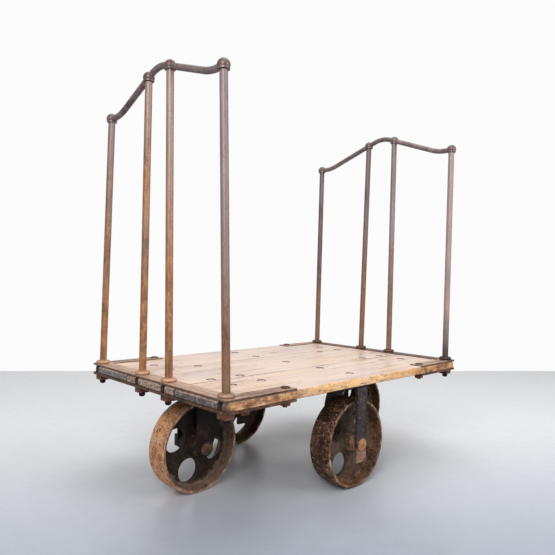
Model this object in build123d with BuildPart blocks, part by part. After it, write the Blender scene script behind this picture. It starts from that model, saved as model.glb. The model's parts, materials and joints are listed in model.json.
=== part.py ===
"""Four-wheeled platform truck with a rack of four posts at each end.

Millimetres. The origin is on the floor under the middle of the deck. +X points to the front,
+Y to the left and +Z up. One wheel stands at mid-length on each long side, and one swivel castor
at mid-width near each end.
"""
import os

from build123d import *

# Clearances
running_fit = 0.08
running_gap = 0.3
bolt_slack = 0.3
socket_slack = 0.2
rebate_slack = 0.5

# Wheels, all four of one casting
wheel_diameter = 254.0
wheel_width = 70.0
tread_crown = 1.2
rim_thickness = 7.5
rim_taper = 6.0
rim_edge_radius = 2.0
web_thickness = 12.0
web_fillet = 6.0
web_holes = 4
web_hole_diameter = 67.0
web_hole_circle = 143.0
hub_diameter = 52.0
hub_taper = 5.0
wheel_side_gap = 7.0
left_wheel_turn = 20.0
right_wheel_turn = 54.0
rear_wheel_turn = 19.0
front_wheel_turn = 33.0

# Axles
axle_diameter = 22.0
axle_head_diameter = 37.0
axle_head_height = 10.0
axle_head_rim = 3.0
axle_nut_size = 34.0
axle_nut_height = 17.0
axle_stub = 6.0
washer_diameter = 44.0
washer_thickness = 2.7

# Castors
castor_inset = 182.0
castor_trail = 30.0
front_castor_heading = 0.0
rear_castor_heading = 182.0
castor_plate_length = 150.0
castor_plate_width = 430.0
castor_plate_thickness = 10.0
castor_plate_corner = 15.0
castor_bolt_spacing = 100.0
castor_bolt_inner_pitch = 200.0
castor_bolt_outer_pitch = 380.0
plate_boss_diameter = 78.0
plate_boss_height = 6.0
thrust_washer_diameter = 70.0
thrust_washer_thickness = 4.0
king_pin_diameter = 24.0
king_head_diameter = 44.0
king_head_height = 6.5
king_head_clearance = 4.5
king_rivet_flare = 4.0
crown_boss_diameter = 74.0
crown_boss_height = 3.0
crown_thickness = 13.0
crown_length = 112.0
crown_corner = 10.0
crown_inside_radius = 6.0
fork_leg_thickness = 11.0
fork_tip_radius = 26.0
leg_boss_diameter = 46.0
leg_boss_height = 3.0

# Deck
deck_length = 1020.0
deck_width = 662.0
board_thickness = 25.0
middle_board_width = 238.0
board_joint = 1.2
board_edge_radius = 3.0
joint_edge_radius = 1.2

# Straps
strap_overhang = 4.0
strap_end_width = 46.0
strap_arm_width = 44.0
strap_arm_length = 224.0
strap_corner_radius = 12.0
strap_arm_corner = 7.0
top_strap_thickness = 5.0
top_strap_proud = 2.0
bottom_strap_thickness = 6.5
arm_bolt_setback = 20.0

# Posts and rails
post_setback = 22.0
outer_post_inset = 28.0
inner_post_pitch = 132.0
outer_ball_height = 750.0
inner_ball_rise = 65.0
rear_left_outer_sag = 9.0
rear_left_inner_sag = 4.0
rear_right_outer_sag = -5.0
rear_right_inner_sag = 0.0
front_left_outer_sag = 0.0
front_left_inner_sag = 0.0
front_right_outer_sag = 6.0
front_right_inner_sag = -1.0
post_diameter = 20.0
post_shank_diameter = 17.0
post_stub = 12.0
post_tip_dome = 4.0
ball_diameter = 32.0
ball_skirt_diameter = 29.6
ball_skirt_depth = 10.5
collar_diameter = 41.0
collar_ring_height = 9.0
collar_ring_round = 3.5
collar_neck_height = 1.5
collar_neck_lip = 1.0
post_nut_size = 29.0
post_nut_height = 16.0
rail_diameter = 17.5
rail_end_depth = 6.0
rail_knee = 48.0
rail_dip = 2.0
rail_knee_radius = 150.0
rail_crest_radius = 110.0
rack_lean_out = 9.0
rear_left_outer_lean = 39.0
rear_left_inner_lean = 13.0
rear_right_outer_lean = 25.0
rear_right_inner_lean = 13.0
front_left_outer_lean = 0.0
front_left_inner_lean = 12.0
front_right_outer_lean = -3.0
front_right_inner_lean = 0.0

# Hanger of the fixed wheels
hanger_inset = 16.0
hanger_width = 44.0
hanger_thickness = 10.0
hanger_bend = 8.0
hanger_tail = 49.0
hanger_bolt_setback = 50.0
leg_bolt_setback = 71.0
inner_foot_length = 120.0

# Deck bolts and their nuts
bolt_diameter = 12.0
bolt_head_diameter = 24.0
bolt_head_height = 5.0
bolt_head_rim = 3.0
bolt_head_sink = 0.5
bolt_head_slack = 1.0
bolt_nut_size = 20.0
bolt_nut_height = 11.0
bolt_stub = 3.0
nut_chamfer = 1.5

# Heights, stacked from the floor
axle_height = wheel_diameter / 2
king_head_bottom = wheel_diameter + king_head_clearance
crown_bottom = king_head_bottom + king_head_height + running_gap
crown_top = crown_bottom + crown_thickness
crown_face = crown_top + crown_boss_height
washer_bottom = crown_face + running_gap
washer_top = washer_bottom + thrust_washer_thickness
plate_bottom = washer_top + plate_boss_height
deck_underside = plate_bottom + castor_plate_thickness
deck_top = deck_underside + board_thickness
strap_top = deck_top + top_strap_proud
strap_seat = strap_top - top_strap_thickness
strap_bottom = deck_underside - bottom_strap_thickness
outer_ball_z = strap_top + outer_ball_height
inner_ball_z = outer_ball_z + inner_ball_rise
hanger_bottom = deck_underside - hanger_thickness
leg_bottom = axle_height - hanger_tail

# Places along and across the truck
ends = {"rear": -1, "front": 1}
sides = {"left": 1, "right": -1}
strap_end = deck_length / 2 + strap_overhang
post_x = strap_end - post_setback
outer_post_y = deck_width / 2 - outer_post_inset
inner_post_y = inner_post_pitch / 2
post_rows = (outer_post_y, inner_post_y, -inner_post_y, -outer_post_y)
arm_bolt_x = strap_end - strap_arm_length + arm_bolt_setback
arm_bolt_y = (deck_width - strap_arm_width) / 2
king_x = strap_end - castor_inset
leg_gap = wheel_width + 2 * wheel_side_gap
hub_length = leg_gap - 2 * (washer_thickness + running_gap)
outer_leg_face = deck_width / 2 - hanger_inset
wheel_y = outer_leg_face - hanger_thickness - leg_gap / 2
inner_leg_face = wheel_y - leg_gap / 2
fork_half_width = leg_gap / 2 + fork_leg_thickness

# Bolt places on the deck
hanger_bolt_y = outer_leg_face - hanger_bolt_setback
leg_bolt_y = inner_leg_face - leg_bolt_setback
hanger_bolts = [(0, -hanger_bolt_y), (0, 0), (0, hanger_bolt_y)]
leg_bolts = [(0, side * leg_bolt_y) for side in sides.values()]
castor_bolts = {
    name: [
        (end * king_x + row * castor_bolt_spacing / 2, side * pitch / 2)
        for row in (-1, 1)
        for side in (-1, 1)
        for pitch in (castor_bolt_inner_pitch, castor_bolt_outer_pitch)
    ]
    for name, end in ends.items()
}
sunk_bolts = hanger_bolts + leg_bolts + castor_bolts["rear"] + castor_bolts["front"]
arm_bolts = [(end * arm_bolt_x, side * arm_bolt_y) for end in ends.values() for side in sides.values()]
bolt_hole_radius = bolt_diameter / 2 + bolt_slack
post_hole_radius = post_shank_diameter / 2 + bolt_slack
axle_hole_radius = axle_diameter / 2 + bolt_slack
sunk_head_seat = deck_top - bolt_head_sink - bolt_head_height

# Lean in and sag of the ball of every post, outer then inner, as the old racks stand now
ball_sets = {
    ("rear", "left"): (
        (rear_left_outer_lean, rear_left_outer_sag),
        (rear_left_inner_lean, rear_left_inner_sag),
    ),
    ("rear", "right"): (
        (rear_right_outer_lean, rear_right_outer_sag),
        (rear_right_inner_lean, rear_right_inner_sag),
    ),
    ("front", "left"): (
        (front_left_outer_lean, front_left_outer_sag),
        (front_left_inner_lean, front_left_inner_sag),
    ),
    ("front", "right"): (
        (front_right_outer_lean, front_right_outer_sag),
        (front_right_inner_lean, front_right_inner_sag),
    ),
}

# Where each castor's wheel trails to, turned about Z from +X
castor_headings = {"rear": rear_castor_heading, "front": front_castor_heading}


def save(piece, name):
    """Label a finished piece and write its STEP file."""
    piece.part.label = name
    export_step(piece.part, f"parts/{name}.step")


def facing(x, y, z, side):
    """A plane across the truck at a point, facing +Y or -Y."""
    return Plane(origin=(x, y, z), x_dir=(1, 0, 0), z_dir=(0, side, 0))


def strap_plan(end, height, slack=0.0):
    """The U-shaped plan of a strap, opened out by slack for the rebate that it lies in."""
    with BuildSketch(Plane.XY.offset(height)) as plan:
        with Locations((end * (strap_end - strap_arm_length / 2), 0)):
            Rectangle(strap_arm_length, deck_width)
        inner_length = strap_arm_length - strap_end_width
        with Locations((end * (strap_end - strap_end_width - inner_length / 2), 0)):
            Rectangle(inner_length, deck_width - 2 * strap_arm_width, mode=Mode.SUBTRACT)
        columns = plan.vertices().group_by(Axis.X)
        outer_corners, arm_corners = (columns[-1], columns[0]) if end > 0 else (columns[0], columns[-1])
        fillet(outer_corners, strap_corner_radius)
        fillet(arm_corners, strap_arm_corner)
        if slack:
            offset(amount=slack, mode=Mode.REPLACE)
    return plan.sketch


def make_strap(end, bottom, thickness):
    """One flat iron strap with its holes for the posts and the arm bolts."""
    with BuildPart() as strap:
        extrude(strap_plan(end, bottom), amount=thickness)
        with Locations(*[(end * post_x, y, bottom + thickness) for y in post_rows]):
            Hole(post_hole_radius)
        with Locations(*[(end * arm_bolt_x, side * arm_bolt_y, bottom + thickness) for side in (-1, 1)]):
            Hole(bolt_hole_radius)
    return strap


def make_board(low, high):
    """One deck board between two values of Y, notched for the posts and rebated for the straps."""
    rows = [y for y in post_rows if low < y < high]
    notch_length = deck_length / 2 - post_x
    notch_x = post_x + notch_length / 2
    with BuildPart() as board:
        with BuildSketch(Plane.XY.offset(deck_underside)):
            with Locations((0, (low + high) / 2)):
                Rectangle(deck_length, high - low)
            with Locations(*[(end * post_x, y) for end in ends.values() for y in rows]):
                Circle(post_hole_radius, mode=Mode.SUBTRACT)
            with Locations(*[(end * notch_x, y) for end in ends.values() for y in rows]):
                Rectangle(notch_length, 2 * post_hole_radius, mode=Mode.SUBTRACT)
        extrude(amount=board_thickness)
        for y in (low, high):
            is_side = abs(y) > middle_board_width / 2 + board_joint
            long_edges = board.edges().filter_by(Axis.X).sort_by_distance((0, y, deck_top))
            fillet(long_edges[0], board_edge_radius if is_side else joint_edge_radius)
        for end in ends.values():
            extrude(strap_plan(end, strap_seat, rebate_slack), amount=board_thickness, mode=Mode.SUBTRACT)
        reach = bolt_head_diameter / 2 + bolt_head_slack
        with Locations(*[(x, y, deck_top) for x, y in sunk_bolts if low - reach < y < high + reach]):
            CounterBoreHole(bolt_hole_radius, reach, bolt_head_height + bolt_head_sink)
        here = [(x, y, deck_top) for x, y in arm_bolts if low < y < high]
        if here:
            with Locations(*here):
                Hole(bolt_hole_radius)
    return board


def ball_places(end_name, side_name):
    """Centres of the outer and inner balls on one side of a rack."""
    x = ends[end_name] * (post_x + rack_lean_out)
    (outer_lean, outer_sag), (inner_lean, inner_sag) = ball_sets[end_name, side_name]
    outer = Vector(x, sides[side_name] * (outer_post_y - outer_lean), outer_ball_z - outer_sag)
    inner = Vector(x, sides[side_name] * (inner_post_y - inner_lean), inner_ball_z - inner_sag)
    return outer, inner


def rail_end(end_name, side_name):
    """A rail's tip in its outer ball, its knee, and its rise from there through the inner ball."""
    outer, inner = ball_places(end_name, side_name)
    knee = outer - Vector(0, sides[side_name] * rail_knee, rail_dip)
    tip = outer + (outer - knee).normalized() * rail_end_depth
    return tip, knee, inner - knee


def make_ball():
    """A post's ball about the origin, drawn out below into a short skirt with a flat underside."""
    ball_radius = ball_diameter / 2
    skirt_radius = ball_skirt_diameter / 2
    skirt_top = -((ball_radius**2 - skirt_radius**2) ** 0.5)
    with BuildPart() as ball:
        with BuildSketch(Plane.XZ):
            with BuildLine():
                ThreePointArc((0, ball_radius), (ball_radius, 0), (skirt_radius, skirt_top))
                Polyline(
                    (skirt_radius, skirt_top), (skirt_radius, -ball_skirt_depth),
                    (0, -ball_skirt_depth), (0, ball_radius),
                )
            make_face()
        revolve(axis=Axis.Z)
    return ball


def make_post(end_name, side_name, is_outer):
    """One post: threaded shank, foot collar, leaning stem and ball, forged in one, bored for the rail."""
    stem = post_diameter / 2
    shank = post_shank_diameter / 2
    shank_length = strap_top - strap_bottom + post_nut_height + post_stub
    ring = collar_diameter / 2
    neck = stem + collar_neck_lip
    foot_height = collar_ring_height + collar_neck_height
    foot_y = outer_post_y if is_outer else inner_post_y
    foot = Vector(ends[end_name] * post_x, sides[side_name] * foot_y, strap_top)
    root = foot + Vector(0, 0, collar_ring_height / 2)
    outer, inner = ball_places(end_name, side_name)
    centre = outer if is_outer else inner
    tip, knee, rise = rail_end(end_name, side_name)
    ball = make_ball()
    with BuildPart() as post:
        with BuildSketch(Plane(foot, x_dir=(1, 0, 0), z_dir=(0, -1, 0))):
            with BuildLine():
                TangentArc((0, -shank_length), (shank, post_tip_dome - shank_length), tangent=(1, 0))
                Polyline((shank, post_tip_dome - shank_length), (shank, 0), (ring - collar_ring_round, 0))
                ThreePointArc(
                    (ring - collar_ring_round, 0),
                    (ring, collar_ring_height / 2),
                    (ring - collar_ring_round, collar_ring_height),
                )
                Polyline(
                    (ring - collar_ring_round, collar_ring_height),
                    (neck, foot_height), (0, foot_height), (0, -shank_length),
                )
            make_face()
        revolve(axis=Axis(foot, (0, 0, 1)))
        with BuildSketch(Plane(root, z_dir=centre - root)):
            Circle(stem)
        extrude(amount=(centre - root).length)
        with Locations(Plane(centre, z_dir=centre - root)):
            add(ball.part)
        if is_outer:
            socket_end = tip + (tip - knee).normalized() * running_gap
            with BuildSketch(Plane(socket_end, z_dir=knee - tip)):
                Circle(rail_diameter / 2 + socket_slack)
            extrude(amount=rail_knee, mode=Mode.SUBTRACT)
        else:
            with BuildSketch(Plane(centre, z_dir=rise)):
                Circle(rail_diameter / 2 + socket_slack)
            extrude(amount=ball_diameter, both=True, mode=Mode.SUBTRACT)
    return post


def make_rail(end_name):
    """The round bar bent up to a crest between the inner posts, its tips in the outer balls."""
    left_tip, left_knee, left_rise = rail_end(end_name, "left")
    right_tip, right_knee, right_rise = rail_end(end_name, "right")
    across = left_knee - right_knee
    reach = left_rise.cross(across).X / left_rise.cross(right_rise).X
    crest = right_knee + right_rise * reach
    with BuildPart() as rail:
        with BuildLine() as path:
            FilletPolyline(
                left_tip, left_knee, crest, right_knee, right_tip,
                radius=(rail_knee_radius, rail_crest_radius, rail_knee_radius),
            )
        with BuildSketch(Plane(left_tip, z_dir=left_knee - left_tip)):
            Circle(rail_diameter / 2)
        sweep(path=path.line)
    return rail


def make_nuts(places, face, size, height, hole_radius):
    """Square nuts on vertical bolts, drawn up against a downward face, as a group."""
    with BuildPart() as nut:
        with BuildSketch(Plane.XY.offset(face)):
            Rectangle(size, size)
            Circle(hole_radius, mode=Mode.SUBTRACT)
        extrude(amount=-height)
        chamfer(nut.faces().sort_by(Axis.Z)[0].outer_wire().edges(), nut_chamfer)
    with BuildPart() as nuts:
        with Locations(*places):
            add(nut.part)
    return nuts


def make_bolts(places, head_seat, nut_face):
    """Domed carriage bolts hanging from their heads down through a nut, as a group."""
    head = bolt_head_diameter / 2
    shank = bolt_diameter / 2
    head_top = head_seat + bolt_head_height
    rim_top = head_seat + bolt_head_rim
    shank_end = nut_face - bolt_nut_height - bolt_stub
    with BuildPart() as bolt:
        with BuildSketch(Plane.XZ):
            with BuildLine():
                Polyline(
                    (0, head_top), (0, shank_end), (shank, shank_end), (shank, head_seat),
                    (head, head_seat), (head, rim_top),
                )
                TangentArc((0, head_top), (head, rim_top), tangent=(1, 0))
            make_face()
        revolve(axis=Axis.Z)
    with BuildPart() as bolts:
        with Locations(*places):
            add(bolt.part)
    return bolts


def make_wheel(x, y, turn):
    """A cast wheel: crowned tread, tapered rim, web with round holes, and a long hub."""
    half_width = wheel_width / 2
    half_web = web_thickness / 2
    half_hub = hub_length / 2
    tread_edge = wheel_diameter / 2 - tread_crown
    rim_edge = tread_edge - rim_thickness
    rim_root = rim_edge - rim_taper
    hub_end = hub_diameter / 2
    hub_root = hub_end + hub_taper
    bore = axle_diameter / 2 + running_fit
    with BuildPart() as wheel:
        with BuildSketch(Plane.XY) as section:
            with BuildLine():
                ThreePointArc((tread_edge, -half_width), (wheel_diameter / 2, 0), (tread_edge, half_width))
                Polyline(
                    (tread_edge, half_width), (rim_edge, half_width), (rim_root, half_web),
                    (hub_root, half_web), (hub_end, half_hub), (bore, half_hub),
                    (bore, -half_hub), (hub_end, -half_hub), (hub_root, -half_web),
                    (rim_root, -half_web), (rim_edge, -half_width), (tread_edge, -half_width),
                )
            make_face()
            roots = section.vertices().filter_by(lambda v: abs(v.Y) < half_web + rim_edge_radius)
            fillet(roots, web_fillet)
            rim_corners = section.vertices().filter_by(lambda v: v.X > rim_edge + rim_thickness / 2)
            fillet(rim_corners, rim_edge_radius)
        revolve(axis=Axis.Y)
        with BuildSketch(Plane.XZ):
            with PolarLocations(web_hole_circle / 2, web_holes, start_angle=turn):
                Circle(web_hole_diameter / 2)
        extrude(amount=half_web + web_fillet, both=True, mode=Mode.SUBTRACT)
    with BuildPart() as placed:
        with Locations((x, y, axle_height)):
            add(wheel.part)
    return placed


def make_axle(x, head_face, nut_face, side):
    """An axle pin through both legs towards +Y or -Y, domed at its head and threaded for its nut."""
    length = abs(nut_face - head_face) + axle_nut_height + axle_stub
    pin = axle_diameter / 2
    head = axle_head_diameter / 2
    start = Vector(x, head_face, axle_height)
    with BuildPart() as axle:
        with BuildSketch(Plane(start, x_dir=(1, 0, 0), z_dir=(0, 0, -side))):
            with BuildLine():
                Polyline(
                    (0, axle_head_height), (0, -length), (pin, -length), (pin, 0),
                    (head, 0), (head, axle_head_rim),
                )
                TangentArc((0, axle_head_height), (head, axle_head_rim), tangent=(1, 0))
            make_face()
        revolve(axis=Axis(start, (0, 1, 0)))
    return axle


def make_axle_nut(x, face, side):
    """The square nut of one axle."""
    with BuildPart() as nut:
        with BuildSketch(facing(x, face, axle_height, side)):
            Rectangle(axle_nut_size, axle_nut_size)
            Circle(axle_hole_radius, mode=Mode.SUBTRACT)
        extrude(amount=axle_nut_height)
        outside = nut.faces().sort_by(Axis.Y)[-1 if side > 0 else 0]
        chamfer(outside.outer_wire().edges(), nut_chamfer)
    return nut


def make_washers(x, y):
    """The two washers of one wheel, each against the leg beside the hub."""
    with BuildPart() as washers:
        for side in sides.values():
            with BuildSketch(facing(x, y + side * leg_gap / 2, axle_height, -side)):
                Circle(washer_diameter / 2)
                Circle(axle_hole_radius, mode=Mode.SUBTRACT)
            extrude(amount=washer_thickness)
    return washers


def make_hanger_bar():
    """The flat bar under the deck, bent down at both ends into the outer legs."""
    with BuildPart() as bar:
        with BuildSketch(Plane.YZ) as outline:
            with Locations((0, (deck_underside + leg_bottom) / 2)):
                Rectangle(2 * outer_leg_face, deck_underside - leg_bottom)
            fillet(outline.vertices().group_by(Axis.Y)[-1], hanger_bend + hanger_thickness)
        extrude(amount=hanger_width / 2, both=True)
        with BuildSketch(Plane.YZ) as between:
            with Locations((0, (hanger_bottom + leg_bottom) / 2)):
                Rectangle(2 * (outer_leg_face - hanger_thickness), hanger_bottom - leg_bottom)
            fillet(between.vertices().group_by(Axis.Y)[-1], hanger_bend)
        extrude(amount=hanger_width / 2, both=True, mode=Mode.SUBTRACT)
        with Locations(*[(x, y, deck_underside) for x, y in hanger_bolts + leg_bolts]):
            Hole(bolt_hole_radius)
        with BuildSketch(Plane.XZ):
            with Locations((0, axle_height)):
                Circle(axle_hole_radius)
        extrude(amount=outer_leg_face, both=True, mode=Mode.SUBTRACT)
    return bar


def make_inner_leg(side):
    """The inner leg of a fixed wheel, bent at the top into a foot under the hanger bar."""
    foot_end = inner_leg_face - inner_foot_length
    leg_back = inner_leg_face - hanger_thickness
    foot_bottom = hanger_bottom - hanger_thickness
    outline = [
        (inner_leg_face, hanger_bottom), (inner_leg_face, leg_bottom), (leg_back, leg_bottom),
        (leg_back, foot_bottom), (foot_end, foot_bottom), (foot_end, hanger_bottom),
    ]
    with BuildPart() as leg:
        with BuildSketch(Plane.YZ) as profile:
            with BuildLine():
                Polyline(*[(side * y, z) for y, z in outline], close=True)
            make_face()
            fillet(
                profile.vertices().sort_by_distance((side * inner_leg_face, hanger_bottom))[0],
                hanger_bend + hanger_thickness,
            )
            fillet(profile.vertices().sort_by_distance((side * leg_back, foot_bottom))[0], hanger_bend)
        extrude(amount=hanger_width / 2, both=True)
        with Locations((0, side * leg_bolt_y, hanger_bottom)):
            Hole(bolt_hole_radius)
        with BuildSketch(facing(0, 0, axle_height, side)):
            Circle(axle_hole_radius)
        extrude(amount=inner_leg_face, mode=Mode.SUBTRACT)
    return leg


def make_castor_plate(end_name):
    """The plate that spreads a castor's load over the three boards, with a boss for the king pin."""
    x = ends[end_name] * king_x
    with BuildPart() as plate:
        with BuildSketch(Plane.XY.offset(plate_bottom)):
            with Locations((x, 0)):
                RectangleRounded(castor_plate_length, castor_plate_width, castor_plate_corner)
        extrude(amount=castor_plate_thickness)
        with BuildSketch(Plane.XY.offset(plate_bottom)):
            with Locations((x, 0)):
                Circle(plate_boss_diameter / 2)
        extrude(amount=-plate_boss_height)
        with Locations((x, 0, deck_underside)):
            CounterSinkHole(
                king_pin_diameter / 2 + running_fit,
                king_pin_diameter / 2 + king_rivet_flare,
                counter_sink_angle=90,
            )
        with Locations(*[(*place, deck_underside) for place in castor_bolts[end_name]]):
            Hole(bolt_hole_radius)
    return plate


def make_king_pin(end_name):
    """The pin that the fork turns on: headed below the crown, and riveted over in the castor plate."""
    pin_radius = king_pin_diameter / 2
    head_radius = king_head_diameter / 2
    head_top = king_head_bottom + king_head_height
    with BuildPart() as pin:
        with BuildSketch(Plane.XZ):
            with BuildLine():
                Polyline(
                    (0, king_head_bottom), (head_radius, king_head_bottom), (head_radius, head_top),
                    (pin_radius, head_top), (pin_radius, deck_underside - king_rivet_flare),
                    (pin_radius + king_rivet_flare, deck_underside), (0, deck_underside),
                    close=True,
                )
            make_face()
        revolve(axis=Axis.Z)
    with BuildPart() as placed:
        with Locations((ends[end_name] * king_x, 0)):
            add(pin.part)
    return placed


def make_thrust_washer(end_name):
    """The washer that carries the load between the plate's boss and the fork's crown."""
    with BuildPart() as washer:
        with BuildSketch(Plane.XY.offset(washer_bottom)):
            with Locations((ends[end_name] * king_x, 0)):
                Circle(thrust_washer_diameter / 2)
                Circle(king_pin_diameter / 2 + running_fit, mode=Mode.SUBTRACT)
        extrude(amount=thrust_washer_thickness)
    return washer


def make_fork():
    """A cast castor fork with its king pin on the Z axis: a crown, and two legs that lean to the axle."""
    with BuildPart() as fork:
        with BuildSketch(Plane.XZ):
            with Locations((0, crown_top - crown_thickness / 2)):
                Rectangle(crown_length, crown_thickness)
            with Locations((castor_trail, axle_height)):
                Circle(fork_tip_radius)
            make_hull()
        extrude(amount=fork_half_width, both=True)
        fillet(fork.edges().filter_by(Axis.Z), crown_corner)
        with BuildSketch(Plane.YZ) as slot:
            with Locations((0, crown_bottom / 2)):
                Rectangle(leg_gap, crown_bottom)
            fillet(slot.vertices().group_by(Axis.Y)[-1], crown_inside_radius)
        extrude(amount=wheel_diameter, both=True, mode=Mode.SUBTRACT)
        with BuildSketch(Plane.XY.offset(crown_top)):
            Circle(crown_boss_diameter / 2)
        extrude(amount=crown_boss_height)
        with Locations((0, 0, crown_face)):
            Hole(king_pin_diameter / 2 + running_fit)
        for side in sides.values():
            with BuildSketch(facing(castor_trail, side * fork_half_width, axle_height, side)):
                Circle(leg_boss_diameter / 2)
            extrude(amount=leg_boss_height)
        with BuildSketch(facing(castor_trail, 0, axle_height, 1)):
            Circle(axle_hole_radius)
        extrude(amount=fork_half_width + leg_boss_height, both=True, mode=Mode.SUBTRACT)
    return fork


def set_castor_piece(piece, end_name):
    """Move a piece made with its king pin on the Z axis to its castor, turned to that castor's heading."""
    with BuildPart() as placed:
        with Locations(Location((ends[end_name] * king_x, 0, 0), (0, 0, castor_headings[end_name]))):
            add(piece.part)
    return placed


os.makedirs("parts", exist_ok=True)

# Deck
joint_y = middle_board_width / 2
save(make_board(joint_y + board_joint, deck_width / 2), "deck_board_left")
save(make_board(-joint_y, joint_y), "deck_board_middle")
save(make_board(-deck_width / 2, -joint_y - board_joint), "deck_board_right")

# Straps, posts and rails of the two racks
post_nut = (post_nut_size, post_nut_height, post_hole_radius)
bolt_nut = (bolt_nut_size, bolt_nut_height, bolt_hole_radius)
for end_name, end in ends.items():
    save(make_strap(end, strap_seat, top_strap_thickness), f"{end_name}_top_strap")
    save(make_strap(end, strap_bottom, bottom_strap_thickness), f"{end_name}_bottom_strap")
    for side_name in sides:
        save(make_post(end_name, side_name, True), f"{end_name}_{side_name}_outer_post")
        save(make_post(end_name, side_name, False), f"{end_name}_{side_name}_inner_post")
    save(make_rail(end_name), f"{end_name}_rail")
    save(make_nuts([(end * post_x, y) for y in post_rows], strap_bottom, *post_nut), f"{end_name}_post_nuts")
save(make_bolts(arm_bolts, strap_top, strap_bottom), "strap_bolts")
save(make_nuts(arm_bolts, strap_bottom, *bolt_nut), "strap_nuts")

# Fixed wheels on their hanger
foot_face = hanger_bottom - hanger_thickness
save(make_hanger_bar(), "hanger_bar")
save(make_bolts(hanger_bolts, sunk_head_seat, hanger_bottom), "hanger_bolts")
save(make_nuts(hanger_bolts, hanger_bottom, *bolt_nut), "hanger_nuts")
save(make_bolts(leg_bolts, sunk_head_seat, foot_face), "leg_bolts")
save(make_nuts(leg_bolts, foot_face, *bolt_nut), "leg_nuts")
fixed_turns = {"left": left_wheel_turn, "right": right_wheel_turn}
for side_name, side in sides.items():
    head_face = side * outer_leg_face
    nut_face = side * (inner_leg_face - hanger_thickness)
    save(make_inner_leg(side), f"{side_name}_inner_leg")
    save(make_axle(0, head_face, nut_face, -side), f"{side_name}_axle")
    save(make_axle_nut(0, nut_face, -side), f"{side_name}_axle_nut")
    save(make_washers(0, side * wheel_y), f"{side_name}_washers")
    save(make_wheel(0, side * wheel_y, fixed_turns[side_name]), f"{side_name}_wheel")

# Castors
castor_turns = {"rear": rear_wheel_turn, "front": front_wheel_turn}
leg_face = fork_half_width + leg_boss_height
for end_name in ends:
    save(make_castor_plate(end_name), f"{end_name}_castor_plate")
    save(make_bolts(castor_bolts[end_name], sunk_head_seat, plate_bottom), f"{end_name}_castor_bolts")
    save(make_nuts(castor_bolts[end_name], plate_bottom, *bolt_nut), f"{end_name}_castor_nuts")
    save(make_king_pin(end_name), f"{end_name}_king_pin")
    save(make_thrust_washer(end_name), f"{end_name}_thrust_washer")
    turning_pieces = {
        "fork": make_fork(),
        "axle": make_axle(castor_trail, leg_face, -leg_face, -1),
        "axle_nut": make_axle_nut(castor_trail, -leg_face, -1),
        "washers": make_washers(castor_trail, 0),
        "wheel": make_wheel(castor_trail, 0, castor_turns[end_name]),
    }
    for piece_name, piece in turning_pieces.items():
        save(set_castor_piece(piece, end_name), f"{end_name}_castor_{piece_name}")
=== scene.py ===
"""Looks of an old factory platform truck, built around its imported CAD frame.

The deck boards are lofted, worn and split here. The iron pieces keep their CAD shapes, get softened
edges and take procedural rust, patina and casting skins.
"""

import json
import math
import random

import bmesh
import bpy
from bpy.props import FloatProperty, FloatVectorProperty, IntProperty, PointerProperty
from mathutils import Matrix, Vector, noise


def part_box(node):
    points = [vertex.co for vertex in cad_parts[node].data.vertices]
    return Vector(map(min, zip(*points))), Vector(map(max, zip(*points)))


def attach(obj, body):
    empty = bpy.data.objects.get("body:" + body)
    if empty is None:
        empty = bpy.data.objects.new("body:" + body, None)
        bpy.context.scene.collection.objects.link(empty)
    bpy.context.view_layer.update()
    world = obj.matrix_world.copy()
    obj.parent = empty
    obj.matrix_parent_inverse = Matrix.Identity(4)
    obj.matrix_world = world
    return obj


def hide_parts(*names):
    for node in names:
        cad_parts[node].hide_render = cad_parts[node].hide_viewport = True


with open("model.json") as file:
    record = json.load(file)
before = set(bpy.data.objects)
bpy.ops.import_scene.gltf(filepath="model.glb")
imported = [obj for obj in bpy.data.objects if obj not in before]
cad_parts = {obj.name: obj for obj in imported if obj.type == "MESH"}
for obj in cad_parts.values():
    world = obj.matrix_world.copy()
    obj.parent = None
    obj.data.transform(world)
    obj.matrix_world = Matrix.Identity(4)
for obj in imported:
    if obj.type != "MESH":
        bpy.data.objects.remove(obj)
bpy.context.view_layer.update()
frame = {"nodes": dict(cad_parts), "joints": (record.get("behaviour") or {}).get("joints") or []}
cad_nodes = frame["nodes"]

bl_info = {
    "name": "Platform truck looks",
    "version": (1, 0, 0),
    "blender": (4, 5, 0),
    "location": "3D View > Sidebar > Truck",
    "description": "Dresses a packed platform truck with worn boards, rusty iron and a pale studio",
    "category": "Object",
}

PHOTO_PIXELS = 555
SENSOR_WIDTH = 36.0
SHARP_ANGLE = math.radians(34)
BEVEL_ANGLE = math.radians(38)
WELD_GAP = 1e-5
ENDS = {"rear": -1, "front": 1}
SIDES = ("left", "right")
SUNK_BOLTS = ("hanger_bolts", "leg_bolts", "rear_castor_bolts", "front_castor_bolts")

# The deck's corners, the joint between its boards and the front strap's corners, in metres
DECK_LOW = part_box("deck_board_right")[0]
DECK_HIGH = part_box("deck_board_left")[1]
JOINT_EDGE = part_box("deck_board_middle")[1].y
STRAP_LOW, STRAP_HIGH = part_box("front_top_strap")
STRAP_WIDTH = 0.046
BAR_START = STRAP_HIGH.x - STRAP_WIDTH


def linear(red, green, blue):
    """A colour written as it shows on screen, 0 to 255, in the scene's linear light."""
    channels = (value / 255 for value in (red, green, blue))
    return tuple(c / 12.92 if c <= 0.04045 else ((c + 0.055) / 1.055) ** 2.4 for c in channels)


def colour(name, description, shown):
    """A colour setting."""
    return FloatVectorProperty(
        name=name, description=description, subtype="COLOR", size=3, min=0, max=1, default=linear(*shown)
    )


def length(name, description, default):
    """A size setting in metres."""
    return FloatProperty(
        name=name, description=description, default=default, min=0, unit="LENGTH", precision=4
    )


def angle(name, description, degrees):
    """An angle setting."""
    return FloatProperty(
        name=name, description=description, subtype="ANGLE", default=math.radians(degrees)
    )


def pixels(name, description, default):
    """A setting in pixels of the picture."""
    return FloatProperty(name=name, description=description, subtype="PIXEL", default=default)


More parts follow.
